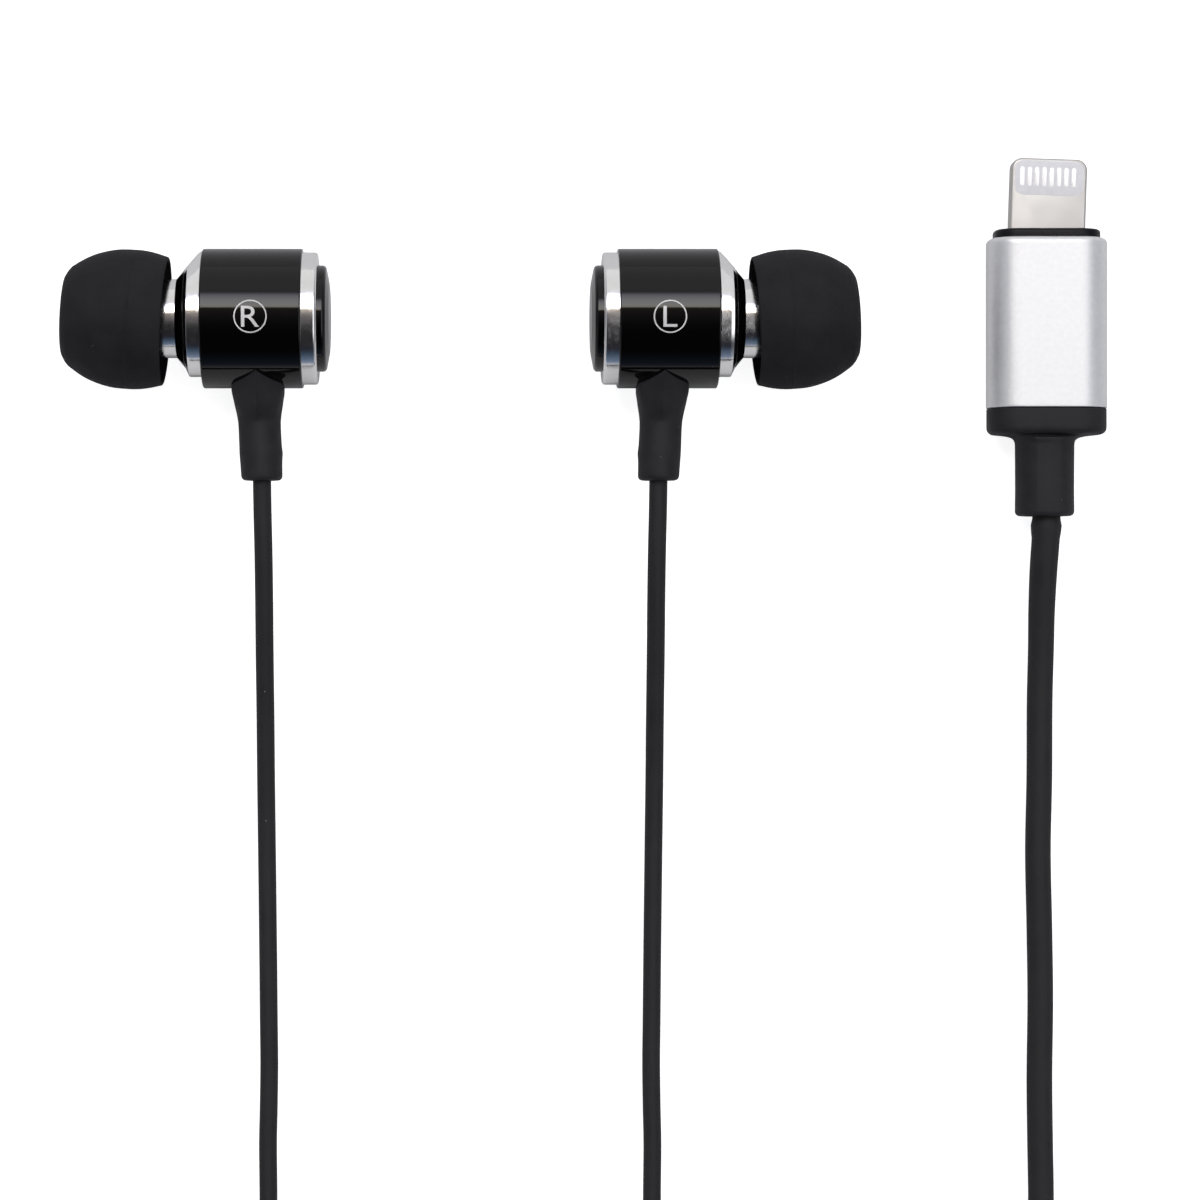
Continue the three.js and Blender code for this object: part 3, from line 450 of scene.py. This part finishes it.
def cord_piece(name, points, diameter, replaces, thick=()):
    line = through(points)
    data = bpy.data.curves.new(name, "CURVE")
    data.dimensions = "3D"
    data.bevel_depth = diameter / 2 * MM
    data.bevel_resolution = 7
    data.use_fill_caps = True
    spline = data.splines.new("POLY")
    spline.points.add(len(line) - 1)
    along = 0.0
    for index, point in enumerate(line):
        along += (point - line[index - 1]).length if index else 0
        spline.points[index].co = (*(point * MM), 1)
        spline.points[index].radius = 1 + sum(
            extra * math.exp(-((along - at) / width) ** 2) for at, width, extra in thick)
    spline.use_smooth = True
    data.materials.append(cord_rubber)
    piece = bpy.data.objects.new(name, data)
    bpy.context.scene.collection.objects.link(piece)
    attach(piece, "root")
    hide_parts(*replaces)
    print(name, round(along, 1), "mm")
    return piece


# %% Make the three cords
BRANCH_COIL = (28.25, -92)
MAIN_COIL = (33.55, -126)
branch_turns = coil_points(BRANCH_COIL, math.pi, 1, 4, 11.15, 7.85, 1.5, 3.1)
branch_line = [*BRANCH_ROUTE, *branch_turns, *BRANCH_TAIL]
for side, mirror in (("left", 1), ("right", -1)):
    cord_piece(
        f"branch_cord_look_{side}", [(mirror * x, y, z) for x, y, z in branch_line], BRANCH_DIAMETER,
        (f"branch_cord_{side}", f"branch_coil_{side}", f"branch_tail_{side}"))
main_turns = coil_points(MAIN_COIL, 0, -1, 8.25, 18.05, 8.35, 1.85, 4.15)
main_line = [*MAIN_ROUTE, *main_turns, *reversed(MAIN_TAIL)]
cord_piece(
    "main_cord_look", main_line, MAIN_DIAMETER, ("main_cord", "main_coil", "main_tail"),
    thick=((2.0, 0.55, 0.13), (3.5, 6.0, 0.085)))

# %% [markdown]
# ## Buds
# A bud is a stack of turned pieces on one axis: back cap, bright rear ring, black barrel, bright
# front ring, black cone and nozzle. Each is drawn as half a section and spun, exactly as it is made
# on a lathe. The left bud points its nozzle along +X and the right one is the same bud turned round.

# %% Places and finishes of the buds
BUD_PLACE = {
    "left": Matrix.Translation((0, 0, AXIS_HEIGHT)),
    "right": Matrix.Translation((0, 0, AXIS_HEIGHT)) @ Matrix.Rotation(math.pi, 4, "Y"),
}
black_gloss = finish("black_gloss", (0.0013, 0.0012, 0.0013), 0.035, specular=0.37, grain=0.0006,
                     grain_size=0.25, vary=0.1, rough_vary=0.015, specks=0.02,
                     speck_colour=(0.05, 0.05, 0.05))
chrome = finish("chrome", (0.93, 0.925, 0.92), 0.13, metallic=1, grain=0.002, grain_size=0.12,
                stretch=(3, 0.6, 0.6), vary=0.02, rough_vary=0.04, patch_size=0.5)
silicone = finish("silicone", (0.019, 0.0183, 0.021), 0.7, specular=0.13, grain=0.01, grain_size=0.12,
                  vary=0.2, specks=0.3, speck_colour=(0.075, 0.075, 0.078), patch_size=2.5)
soft_rubber = finish("soft_rubber", (0.0183, 0.0179, 0.0203), 0.58, specular=0.26, grain=0.012,
                     grain_size=0.12, vary=0.2, specks=0.22, speck_colour=(0.08, 0.08, 0.08),
                     patch_size=1.5)
print("bud finishes", [m.name for m in (black_gloss, chrome, silicone, soft_rubber)])

# %% Turned pieces
BARREL_RADIUS = 6.1
CAP_OUTLINE = [(11.4, 0), (11.4, 3.0, 2.5), (11.72, 4.65, 0.35), (12.9, 4.65), (12.9, 0)]
TURNED_PIECES = {
    "back_cap": (CAP_OUTLINE, black_gloss, "black_gloss", False),
    "rear_ring": ([(12.42, 4.1), (12.42, 5.78, 0.25), (14.0, 5.78), (14.0, 4.1)], chrome, "chrome", True),
    "barrel": ([(13.74, 5.4), (13.74, 6.1, 0.14), (22.48, 6.1, 0.14), (22.48, 4.3), (21.7, 4.3),
                (21.7, 5.4)], black_gloss, "black_gloss", True),
    "front_cone": ([(23.97, 3.2), (24.0, 4.4, 0.04), (24.76, 3.47, 0.05), (24.76, 3.2)], black_gloss,
                   "black_gloss", True),
    "nozzle": ([(20.6, 1.6), (20.6, 4.4), (21.4, 4.4), (21.4, 3.1), (24.4, 3.1), (24.4, 3.45),
                (26.7, 3.45, 0.15), (26.7, 2.35), (30.6, 2.35), (30.6, 2.65, 0.05),
                (31.2, 2.65, 0.1), (31.5, 2.35, 0.05), (31.5, 2.05), (31.1, 2.05), (31.1, 1.6)],
               chrome, "chrome", True),
}
for side in SIDES:
    for piece, (outline, material, slot, closed) in TURNED_PIECES.items():
        points, faces = turned(rounded_path(outline, closed), BUD_PLACE[side], closed)
        mesh_piece(f"{piece}_look_{side}", points, faces, material, (f"{piece}_{side}",))
    print(side, "bud", len(TURNED_PIECES), "turned pieces")

# %% [markdown]
# The bright front ring has a flat land and a chamfer, but on the side turned up the table its metal
# is filled out in one slope from the barrel's edge down to the black cone. So it is spun with two
# radii at each station, one for the land and one for the slope, blended round the axis.

# %% Front rings
RING_OUTLINE = [
    (22.1, 3.2), (22.1, 5.1), (22.47, 5.1), (22.49, 5.1, 5.97), (22.75, 5.1, 5.83), (23.02, 5.1, 5.55),
    (23.33, 5.1, 5.2), (23.6, 5.1, 4.86), (23.66, 5.085, 4.79), (23.71, 5.035, 4.72),
    (23.98, 4.46, 4.46), (24.01, 4.38, 4.38), (24.01, 3.2),
]
for side in SIDES:
    points, faces = turned(RING_OUTLINE, BUD_PLACE[side])
    mesh_piece(f"front_ring_look_{side}", points, faces, chrome, (f"front_ring_{side}",),
               crease=25)
print("front rings,", len(RING_OUTLINE), "stations each")

# %% [markdown]
# ## Ear tips
# The tip is a soft silicone mushroom: a round nose, a skirt that is open at the back, and a core
# that grips the nozzle. The skirt is widest past its middle, where the two halves of the mould
# leave a hair-thin line, and draws in to a thin rim. A soft tip never sits perfectly straight, so
# it leans a few degrees on its nozzle.

# %% Ear tips
TIP_FRONT = 34.7
TIP_SKIN = [(0, 2.0), (0, 3.5, 0.3), (0.28, 4.0, 0.4), (0.6, 4.38, 1), (1.2, 4.79, 2), (1.7, 5.1, 3),
            (2.2, 5.36, 3), (2.72, 5.58, 3), (3.24, 5.75, 4), (3.75, 5.89, 4), (4.28, 6.0, 5),
            (4.8, 6.07, 5), (5.5, 6.095, 6), (6.02, 6.095), (6.05, 6.115), (6.08, 6.095),
            (6.4, 6.095, 6), (6.9, 6.06, 6), (7.5, 5.97, 6), (8.0, 5.86, 6), (8.9, 5.61, 0.12)]
TIP_INSIDE = [(8.95, 5.3, 0.12), (8.0, 5.45, 3), (6.0, 5.55, 4), (4.4, 5.2, 3), (3.4, 4.4, 0.8),
              (3.4, 3.75, 0.4), (7.6, 3.75, 0.2), (7.6, 2.95), (2.7, 2.95), (2.7, 2.0)]
tip_outline = rounded_path([(TIP_FRONT - depth, *rest) for depth, *rest in TIP_SKIN + TIP_INSIDE])
TIP_PIVOT = Vector((30.1, 0, 0))
TIP_LEAN = math.radians(3.2)
for side in SIDES:
    lean = (Matrix.Translation(TIP_PIVOT) @ Matrix.Rotation(TIP_LEAN, 4, "Z")
            @ Matrix.Translation((-TIP_PIVOT.x, 0, 0)))
    points, faces = turned(tip_outline, BUD_PLACE[side] @ lean, segments=192)
    mesh_piece(f"ear_tip_look_{side}", points, faces, silicone, (f"ear_tip_{side}",),
               body=f"{side}_tip", crease=50)
print("ear tip outline", len(tip_outline), "points")

# %% [markdown]
# ## Strain reliefs
# Where the branch cord leaves the barrel, a rubber sleeve takes the bending. It starts as a flare
# with a ridge in front and behind, seated against the round barrel, and turns into a plain tube. A
# loft over changing sections gives both shapes and the soft change between them.


# %% Strain reliefs
RELIEF_AXIS = 17.7
RELIEF_LEAN = 0.35
# depth below the bud's axis, and half width
RELIEF_WIDTHS = ((3.6, 2.3), (5.8, 2.3), (6.5, 2.27), (7.0, 2.2), (7.6, 2.11), (8.3, 1.97), (9.0, 1.87),
                 (9.7, 1.85), (10.8, 1.86), (11.8, 1.87), (13.0, 1.83), (13.8, 1.81), (14.18, 1.8))
RELIEF_END = 14.18
END_ROUNDING = 0.4
RIDGE, SHOULDER = 3.85, 1.8  # how far the flare reaches at its middle and at its sides
FLARE_START, FLARE_FADE = 6.3, 2.9  # where the flare starts to fade and over what length
CORNERS = 14  # the higher, the sharper the corners of the flare
NUB_DEPTH, NUB_HEIGHT = 11.8, 0.05  # the little mark that the mould leaves on one side


def from_table(table, value):
    """The value of a table of pairs, on the straight line between the nearest two."""
    for (low, first), (high, second) in zip(table, table[1:]):
        if value <= high:
            share = max(0.0, (value - low) / (high - low))
            return first + (second - first) * share
    return table[-1][1]


def relief_section(depth, place, count=96):
    half_width = from_table(RELIEF_WIDTHS, depth)
    share = ease(min(max((depth - FLARE_START) / FLARE_FADE, 0), 1))
    drop = max(0.0, depth - RELIEF_END + END_ROUNDING) / END_ROUNDING
    shrink = END_ROUNDING * (1 - math.sqrt(max(0.0, 1 - drop * drop)))
    lean = RELIEF_LEAN * max(depth - BARREL_RADIUS, 0) / (RELIEF_END - BARREL_RADIUS)
    slope = (RIDGE - SHOULDER) / half_width
    section = []
    for index in range(count):
        angle = 2 * math.pi * index / count
        across, along = abs(math.cos(angle)), abs(math.sin(angle))
        flat = half_width / max(across, 0.02)
        facet = RIDGE / (along + slope * across)
        flare = (flat ** -CORNERS + facet ** -CORNERS) ** (-1 / CORNERS)
        radius = flare + (half_width - flare) * share - shrink
        radius += NUB_HEIGHT * max(0.0, -math.cos(angle)) * math.exp(-((depth - NUB_DEPTH) / 0.5) ** 2)
        x = RELIEF_AXIS - lean + radius * math.cos(angle)
        section.append(place @ Vector((x, -depth, radius * math.sin(angle))))
    return section


RELIEF_DEPTHS = [3.9 + 0.16 * step for step in range(62)] + [13.9, 14.0, 14.08, 14.14, 14.17, RELIEF_END]
for side in SIDES:
    sections = [relief_section(depth, BUD_PLACE[side]) for depth in RELIEF_DEPTHS]
    points, faces = lofted(sections)
    mesh_piece(f"strain_relief_look_{side}", points, faces, soft_rubber, (f"strain_relief_{side}",),
               crease=40)
print("relief sections", len(RELIEF_DEPTHS))

# %% [markdown]
# ## Channel marks
# A pale printed ring with an L or an R tells the two buds apart. Print is a very thin layer of ink,
# so each mark is drawn flat, cut into narrow bands, and wrapped onto the barrel.


# %% Channel marks
mark_ink = finish("mark_ink", (0.76, 0.75, 0.74), 0.5, specular=0.3, grain=0.003, grain_size=0.05)
MARK_STATION = 18.04
MARK_LIFT = -0.29
LETTER_HEIGHT = 1.8
LETTER_STRETCH = 1.12
RING_RADII = (1.32, 1.435)
RING_STEPS = 96
BAND = 0.1  # width of the strips in which a mark bends with the barrel
INK = 0.012
INK_SEAT = 0.004  # how deep the ink sits in the surface


def letter_mesh(letter):
    text = bpy.data.curves.new("letter", "FONT")
    text.body = letter
    text.align_x = "CENTER"
    text.resolution_u = 8
    holder = bpy.data.objects.new("letter", text)
    bpy.context.scene.collection.objects.link(holder)
    mesh = bpy.data.meshes.new_from_object(holder)
    bpy.data.objects.remove(holder)
    low = [min(v.co[axis] for v in mesh.vertices) for axis in (0, 1)]
    high = [max(v.co[axis] for v in mesh.vertices) for axis in (0, 1)]
    scale = LETTER_HEIGHT / (high[1] - low[1])
    for vertex in mesh.vertices:
        vertex.co = ((vertex.co.x - (low[0] + high[0]) / 2) * scale * LETTER_STRETCH,
                     (vertex.co.y - (low[1] + high[1]) / 2) * scale, 0)
    return mesh


def mark_piece(side, mirror, letter):
    mark = bmesh.new()
    mark.from_mesh(letter_mesh(letter))
    ring = []
    for step in range(RING_STEPS):
        angle = 2 * math.pi * step / RING_STEPS
        ring.append([mark.verts.new((r * math.cos(angle), r * math.sin(angle), 0)) for r in RING_RADII])
    for step in range(RING_STEPS):
        first, second = ring[step], ring[(step + 1) % RING_STEPS]
        mark.faces.new((first[0], first[1], second[1], second[0]))
    for cut in range(-15, 16):
        parts = mark.verts[:] + mark.edges[:] + mark.faces[:]
        bmesh.ops.bisect_plane(mark, geom=parts, plane_co=(0, cut * BAND, 0), plane_no=(0, 1, 0))
    top = bmesh.ops.extrude_face_region(mark, geom=mark.faces[:])
    for element in top["geom"]:
        if isinstance(element, bmesh.types.BMVert):
            element.co.z = INK
    for vertex in mark.verts:
        angle = (vertex.co.y + MARK_LIFT) / BARREL_RADIUS
        height = BARREL_RADIUS - INK_SEAT + vertex.co.z
        vertex.co = (mirror * MARK_STATION + vertex.co.x, height * math.sin(angle),
                     AXIS_HEIGHT + height * math.cos(angle))
    mesh = bpy.data.meshes.new(f"channel_mark_{side}")
    mark.to_mesh(mesh)
    points = [vertex.co.copy() for vertex in mesh.vertices]
    faces = [tuple(face.vertices) for face in mesh.polygons]
    mark.free()
    return mesh_piece(f"channel_mark_{side}", points, faces, mark_ink)


for side, mirror, letter in (("left", 1, "L"), ("right", -1, "R")):
    mark = mark_piece(side, mirror, letter)
    print(mark.name, len(mark.data.polygons), "faces")

# %% [markdown]
# ## Plug
# The plug has a flat metal tongue with a pale insert and eight contacts, a black collar, a blasted
# aluminium sleeve and a rubber boot. All of them are lofts along the plug: a rounded rectangle that
# shrinks a little at each end gives the rounded edges.

# %% Plug finishes
blasted = finish("bead_blasted", (0.88, 0.885, 0.89), 0.44, metallic=0.65, grain=0.006, grain_size=0.07,
                 vary=0.03, rough_vary=0.04, patch_size=0.4)
nickel = finish("nickel", (0.62, 0.605, 0.58), 0.45, metallic=0.8, grain=0.001, grain_size=0.08,
                stretch=(1, 0.2, 1), vary=0.03, patch_size=1.5)
pad_plastic = finish("pad_plastic", (0.87, 0.87, 0.89), 0.5, specular=0.4, grain=0.004, grain_size=0.08,
                     vary=0.04, patch_size=0.6)
contact_metal = finish("contact_plate", (0.99, 0.985, 0.98), 0.35, metallic=0.6, vary=0.02,
                       patch_size=0.5)
collar_plastic = finish("collar_plastic", (0.004, 0.004, 0.006), 0.35, specular=0.22, grain=0.004,
                        grain_size=0.1)
laminate = finish("laminate", (0.02, 0.12, 0.05), 0.45, grain=0.01, grain_size=0.12, vary=0.25,
                  patch_size=0.5)
print("plug finishes ready")

# %% Plug section tools
PLUG_X = 51.85
PLUG_Z = 3.0
HOLDING_STRIP = 0.15


def along_plug(stations, segments=12):
    """Sections of a rounded rectangle: (y, width, thickness, corner, share of a circle, radius)."""
    sections = []
    for y, width, thickness, corner, share, radius in stations:
        section = []
        for point in rounded_rectangle(width, thickness, corner, segments):
            circle = point.normalized() * radius if radius else point
            flat = point.lerp(circle, share)
            section.append((PLUG_X + flat.x, y, PLUG_Z + flat.y))
        sections.append(section)
    return sections


def quarter_turn(steps, first=0):
    """The sine, and one less the cosine, over a quarter turn. They draw every rounded edge."""
    for step in range(first, steps + 1):
        angle = math.pi / 2 * step / steps
        yield math.sin(angle), 1 - math.cos(angle)


def edge_stations(y, inwards, radius, width, thickness, corner, steps=6):
    """Stations of a rounded edge: from the face at y, going inwards along the plug."""
    stations = []
    for rise, run in quarter_turn(steps):
        inset = radius * (1 - rise)
        stations.append((y + inwards * radius * run, width - 2 * inset, thickness - 2 * inset,
                         corner - inset, 0, 0))
    return stations + [(y + inwards * (radius + HOLDING_STRIP), width, thickness, corner, 0, 0)]


print("plug axis at", PLUG_X, PLUG_Z)

# %% [markdown]
# ### Sleeve and collar
# The sleeve is drawn tube: open at both ends, with a soft edge at the front where it was tumbled
# and a nearly sharp one at the back, where it is pressed onto the boot. The collar sits in the
# sleeve's mouth and stands out by less than a millimetre.

# %% Sleeve and collar
SLEEVE = (10.55, 6.0, 2.6)
SLEEVE_FRONT, SLEEVE_BACK = 7.29, -7.69
sleeve_stations = [
    (5.0, 9.2, 4.65, 1.95, 0, 0), (7.21, 9.2, 4.65, 1.95, 0, 0), (SLEEVE_FRONT, 9.36, 4.81, 2.02, 0, 0),
    *edge_stations(SLEEVE_FRONT, -1, 0.5, *SLEEVE),
    *reversed(edge_stations(SLEEVE_BACK, 1, 0.08, *SLEEVE)),
    (SLEEVE_BACK, 9.35, 4.8, 2.0, 0, 0), (-6.0, 9.35, 4.8, 2.0, 0, 0),
]
points, faces = lofted(along_plug(sleeve_stations), caps=False)
mesh_piece("plug_sleeve_look", points, faces, blasted, ("plug_sleeve",))

COLLAR = (9.35, 4.8, 2.0)
COLLAR_FRONT = 8.05
collar_stations = [(COLLAR_FRONT, 6.5, 2.0, 0.6, 0, 0), *edge_stations(COLLAR_FRONT, -1, 0.3, *COLLAR),
                   (7.0, *COLLAR, 0, 0), (5.2, *COLLAR, 0, 0)]
points, faces = lofted(along_plug(collar_stations))
mesh_piece("plug_collar_look", points, faces, collar_plastic, ("plug_collar",))
print("sleeve", len(sleeve_stations), "stations, collar", len(collar_stations))

# %% [markdown]
# ### Boot
# The boot is one moulding. Its head has the outline of the sleeve and a round shoulder, and its
# neck is a tube that grips the cord. Between the two the outline turns from a rounded rectangle
# into a circle. The neck stands a little off the middle.

# %% Boot
BOOT = (10.45, 5.9, 2.55)
SHOULDER_START, SHOULDER_ROUNDING = -9.42, 0.62
NECK = (6, 4.2, 2.0, 1)  # a full circle; the radius follows
NECK_END, NECK_ROUNDING, NECK_RADIUS = -16.8, 0.42, 2.6
NECK_SHIFT, NECK_SHIFT_START = -0.16, -9.9
boot_stations = [(-6.6, 9.0, 4.6, 1.9, 0, 0), (-7.7, 9.6, 5.1, 2.1, 0, 0), (-7.73, 10.3, 5.76, 2.5, 0, 0),
                 (-7.79, *BOOT, 0, 0), (-8.4, *BOOT, 0, 0), (-9.3, *BOOT, 0, 0)]
for rise, run in quarter_turn(6, first=1):
    inset = SHOULDER_ROUNDING * run
    boot_stations.append((SHOULDER_START - SHOULDER_ROUNDING * rise, BOOT[0] - 2 * inset,
                          BOOT[1] - 2 * inset, BOOT[2] - inset, 0, 0))
boot_stations += [(-10.1, 8.6, 4.3, 2.0, 0.15, 2.7), (-10.18, 8.0, 4.2, 2.0, 0.5, 2.95),
                  (-10.27, 7.4, 4.2, 2.0, 0.8, 2.95), (-10.36, 6.6, 4.2, 2.0, 0.95, 2.86)]
boot_stations += [(y, *NECK, radius) for y, radius in (
    (-10.5, 2.72), (-10.7, 2.63), (-10.95, 2.6), (-13, 2.585), (-15, 2.58), (NECK_END, NECK_RADIUS))]
boot_stations += [(NECK_END - NECK_ROUNDING * rise, *NECK, NECK_RADIUS - NECK_ROUNDING * run)
                  for rise, run in quarter_turn(6, first=1)]
boot_stations += [(y, *NECK, radius) for y, radius in (
    (-17.2, 1.75), (-17.1, 1.5), (-16.6, 1.42), (-15.8, 1.2))]
points, faces = lofted(along_plug(boot_stations))
points = [(x + NECK_SHIFT * min(max((NECK_SHIFT_START - y) / 0.6, 0), 1), y, z) for x, y, z in points]
mesh_piece("plug_boot_look", points, faces, soft_rubber, ("plug_boot",), crease=40)
print("boot", len(boot_stations), "stations")

# %% [markdown]
# ### Tongue and contacts
# The tongue is a plate with rounded sides. On each face a pale plastic insert fills a window, and
# eight bright contacts stand a hair proud of it. All of it sits about two degrees askew in the
# collar, as a pressed-in part may.

# %% Tongue, inserts and contacts
TONGUE_TIP = 14.33
TONGUE_WIDTH, TONGUE_LENGTH, TONGUE_THICKNESS = 6.7, 9.4, 1.5
WINDOW = (6.07, 3.04, 0.76)
WINDOW_MIDDLE = TONGUE_TIP - 0.22 - WINDOW[1] / 2
CONTACT = (0.39, 1.7, 0.19)
CONTACT_PITCH = 0.648
CONTACT_MIDDLE = TONGUE_TIP - 1.65
CONTACT_SHIFT = -0.12
PIVOT = 8.33
askew = (Matrix.Translation((PLUG_X, PIVOT, PLUG_Z)) @ Matrix.Rotation(math.radians(-1.9), 4, "Z")
         @ Matrix.Translation((0, -PIVOT, 0)))


def plate_piece(name, outline, low, high, edge, material, replaces=(), middle=0.0, shift=0.0):
    """A flat plate between two heights with rounded edges above and below."""
    sections = []
    levels = [(low + edge * run, edge * (1 - rise)) for rise, run in quarter_turn(4)]
    levels += [(high - (z - low), inset) for z, inset in reversed(levels)]
    width, length, corner = outline
    for z, inset in levels:
        section = rounded_rectangle(width - 2 * inset, length - 2 * inset, corner - inset, 10)
        sections.append([askew @ Vector((shift + p.x, middle + p.y, z)) for p in section])
    points, faces = lofted(sections)
    return mesh_piece(name, points, faces, material, replaces)


half = TONGUE_THICKNESS / 2
plate_piece("plug_tongue_look", (TONGUE_WIDTH, TONGUE_LENGTH, 0.95), -half, half, 0.22, nickel,
            ("plug_tongue",), TONGUE_TIP - TONGUE_LENGTH / 2)
plate_piece("contact_board_look", (5.0, 13.0, 0.15), -0.25, 0.25, 0.02, laminate, ("contact_board",),
            TONGUE_TIP - 7.4)
for face, name in ((1, "front"), (-1, "back")):
    low, high = sorted((face * (half - 0.2), face * (half + 0.012)))
    plate_piece(f"contact_pad_look_{name}", WINDOW, low, high, 0.03, pad_plastic,
                (f"contact_pad_{name}",), WINDOW_MIDDLE)
    low, high = sorted((face * (half - 0.1), face * (half + 0.02)))
    for index in range(8):
        plate_piece(f"contact_{name}_{index + 1}", CONTACT, low, high, 0.02, contact_metal, (),
                    CONTACT_MIDDLE, (index - 3.5) * CONTACT_PITCH + CONTACT_SHIFT)
print("contacts", 7 * CONTACT_PITCH, "mm from the first to the last")

# %% [markdown]
# ## Splitter and ties
# The splitter is a small moulded wedge that holds the two branch cords and the main cord. Its
# outline is between an ellipse and a box, and shallow ribs give the fingers a hold at its thin end.

# %% Splitter
# y, half width and half height
SPLITTER = ((-121.9, 2.3, 1.1), (-122.0, 2.5, 1.35), (-122.3, 2.75, 1.55), (-122.8, 2.9, 1.65),
            (-124.5, 2.88, 1.68), (-126.2, 2.8, 1.7), (-128.2, 2.35, 1.7), (-130, 1.95, 1.7),
            (-131.5, 1.83, 1.65), (-132.4, 1.78, 1.6), (-132.8, 1.7, 1.5), (-133.0, 1.5, 1.3))
SPLITTER_STATIONS, SPLITTER_STEP = 111, 0.1
SPLITTER_Z = 1.7
SQUARENESS = 0.85  # 1 is an ellipse and 0 a box
RIB_TOP, RIB_END, RIB_PITCH, RIB_DEPTH = -128.6, -131.8, 0.9, 0.06


def squared(value):
    return math.copysign(abs(value) ** SQUARENESS, value)


sections = []
for step in range(SPLITTER_STATIONS):
    y = SPLITTER[0][0] - SPLITTER_STEP * step
    across = from_table([(-station, reach) for station, reach, _ in SPLITTER], -y)
    up = from_table([(-station, reach) for station, _, reach in SPLITTER], -y)
    ribbed = RIB_END < y < RIB_TOP
    rib = RIB_DEPTH * max(0.0, math.sin(2 * math.pi * (y - RIB_TOP) / RIB_PITCH)) if ribbed else 0
    sections.append([((across - rib) * squared(math.cos(angle)), y,
                      SPLITTER_Z + (up - rib) * squared(math.sin(angle)))
                     for angle in (2 * math.pi * corner / 72 for corner in range(72))])
points, faces = lofted(sections)
mesh_piece("splitter_look", points, faces, soft_rubber, ("splitter",), crease=40)
print("splitter sections", len(sections))

# %% [markdown]
# Each coil is held by a flat band of soft rubber around all its turns. The band is a thin rounded
# strip, swept once round the bundle, and it stands off the cords by a tenth of a millimetre or two.

# %% Ties
tie_rubber = finish("tie_rubber", (0.012, 0.012, 0.013), 0.5, specular=0.35, grain=0.01, grain_size=0.15,
                    vary=0.2)
TIE_WIDTH, TIE_THICKNESS, TIE_EDGE = 2.5, 0.36, 0.16
TIE_ROOM = 0.7  # what the middle of the band needs beyond the bundle's width
TIE_HEADROOM = 0.75
TIE_MIDDLE = 0.7  # height of the band's middle beyond the width of one cord


def tie_piece(name, centre, bundle, diameter, replaces):
    width, height = bundle + TIE_ROOM, 2 * diameter + TIE_HEADROOM
    profile = rounded_rectangle(TIE_WIDTH, TIE_THICKNESS, TIE_EDGE, 4)
    loop = rounded_rectangle(width, height, 0.8 + 0.3 * diameter, 14)
    sections = []
    for index, point in enumerate(loop):
        after, before = loop[(index + 1) % len(loop)], loop[index - 1]
        tangent = (after - before).normalized()
        normal = Vector((tangent.y, -tangent.x))
        sections.append([(centre[0] + point.x + normal.x * corner.y, centre[1] + corner.x,
                          TIE_MIDDLE + diameter + point.y + normal.y * corner.y) for corner in profile])
    sections.append(sections[0])
    points, faces = lofted(sections, caps=False)
    return mesh_piece(name, points, faces, tie_rubber, replaces, crease=50)


for side, mirror in (("left", 1), ("right", -1)):
    tie_piece(f"branch_tie_look_{side}", (mirror * (BRANCH_COIL[0] + 9.39), BRANCH_COIL[1]), 3.38,
              BRANCH_DIAMETER, (f"branch_coil_tie_{side}",))
tie_piece("main_tie_look", (MAIN_COIL[0] - 12.9, MAIN_COIL[1]), 10.16, MAIN_DIAMETER, ("main_coil_tie",))
print("three ties,", TIE_WIDTH, "mm wide")

# %% [markdown]
# ## Inner pieces
# The loudspeaker, the boards and the knot in the cord are inside and stay as the CAD solids. They
# are still real pieces, so each gets its own finish.

# %% Inner finishes
steel = finish("steel", (0.45, 0.45, 0.46), 0.3, metallic=1, grain=0.002, grain_size=0.1)
magnet = finish("magnet", (0.32, 0.32, 0.33), 0.35, metallic=1, grain=0.004, grain_size=0.15)
copper = finish("copper", (0.7, 0.28, 0.12), 0.28, metallic=1, grain=0.02, grain_size=0.12,
                stretch=(3, 0.1, 0.1))
film = finish("film", (0.5, 0.42, 0.26), 0.25, specular=0.6, grain=0.003, grain_size=0.3)
foam = finish("foam", (0.6, 0.6, 0.57), 0.95, specular=0.2, grain=0.08, grain_size=0.15, vary=0.2)
chip_plastic = finish("chip_plastic", (0.012, 0.012, 0.013), 0.5, grain=0.006, grain_size=0.1)
INNER = {
    "driver_frame": steel, "driver_magnet": magnet, "voice_coil": copper, "diaphragm": film,
    "terminal_board": laminate, "cord_knot": cord_rubber, "acoustic_filter": foam, "nozzle_mesh": steel,
}
SINGLE = {"signal_chip": chip_plastic, "cord_crimp": steel}
pairs = {f"{node}_{side}": material for side in SIDES for node, material in INNER.items()}
for node, material in (pairs | SINGLE).items():
    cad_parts[node].data.materials.clear()
    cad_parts[node].data.materials.append(material)
print("inner finishes", len(pairs) + len(SINGLE))
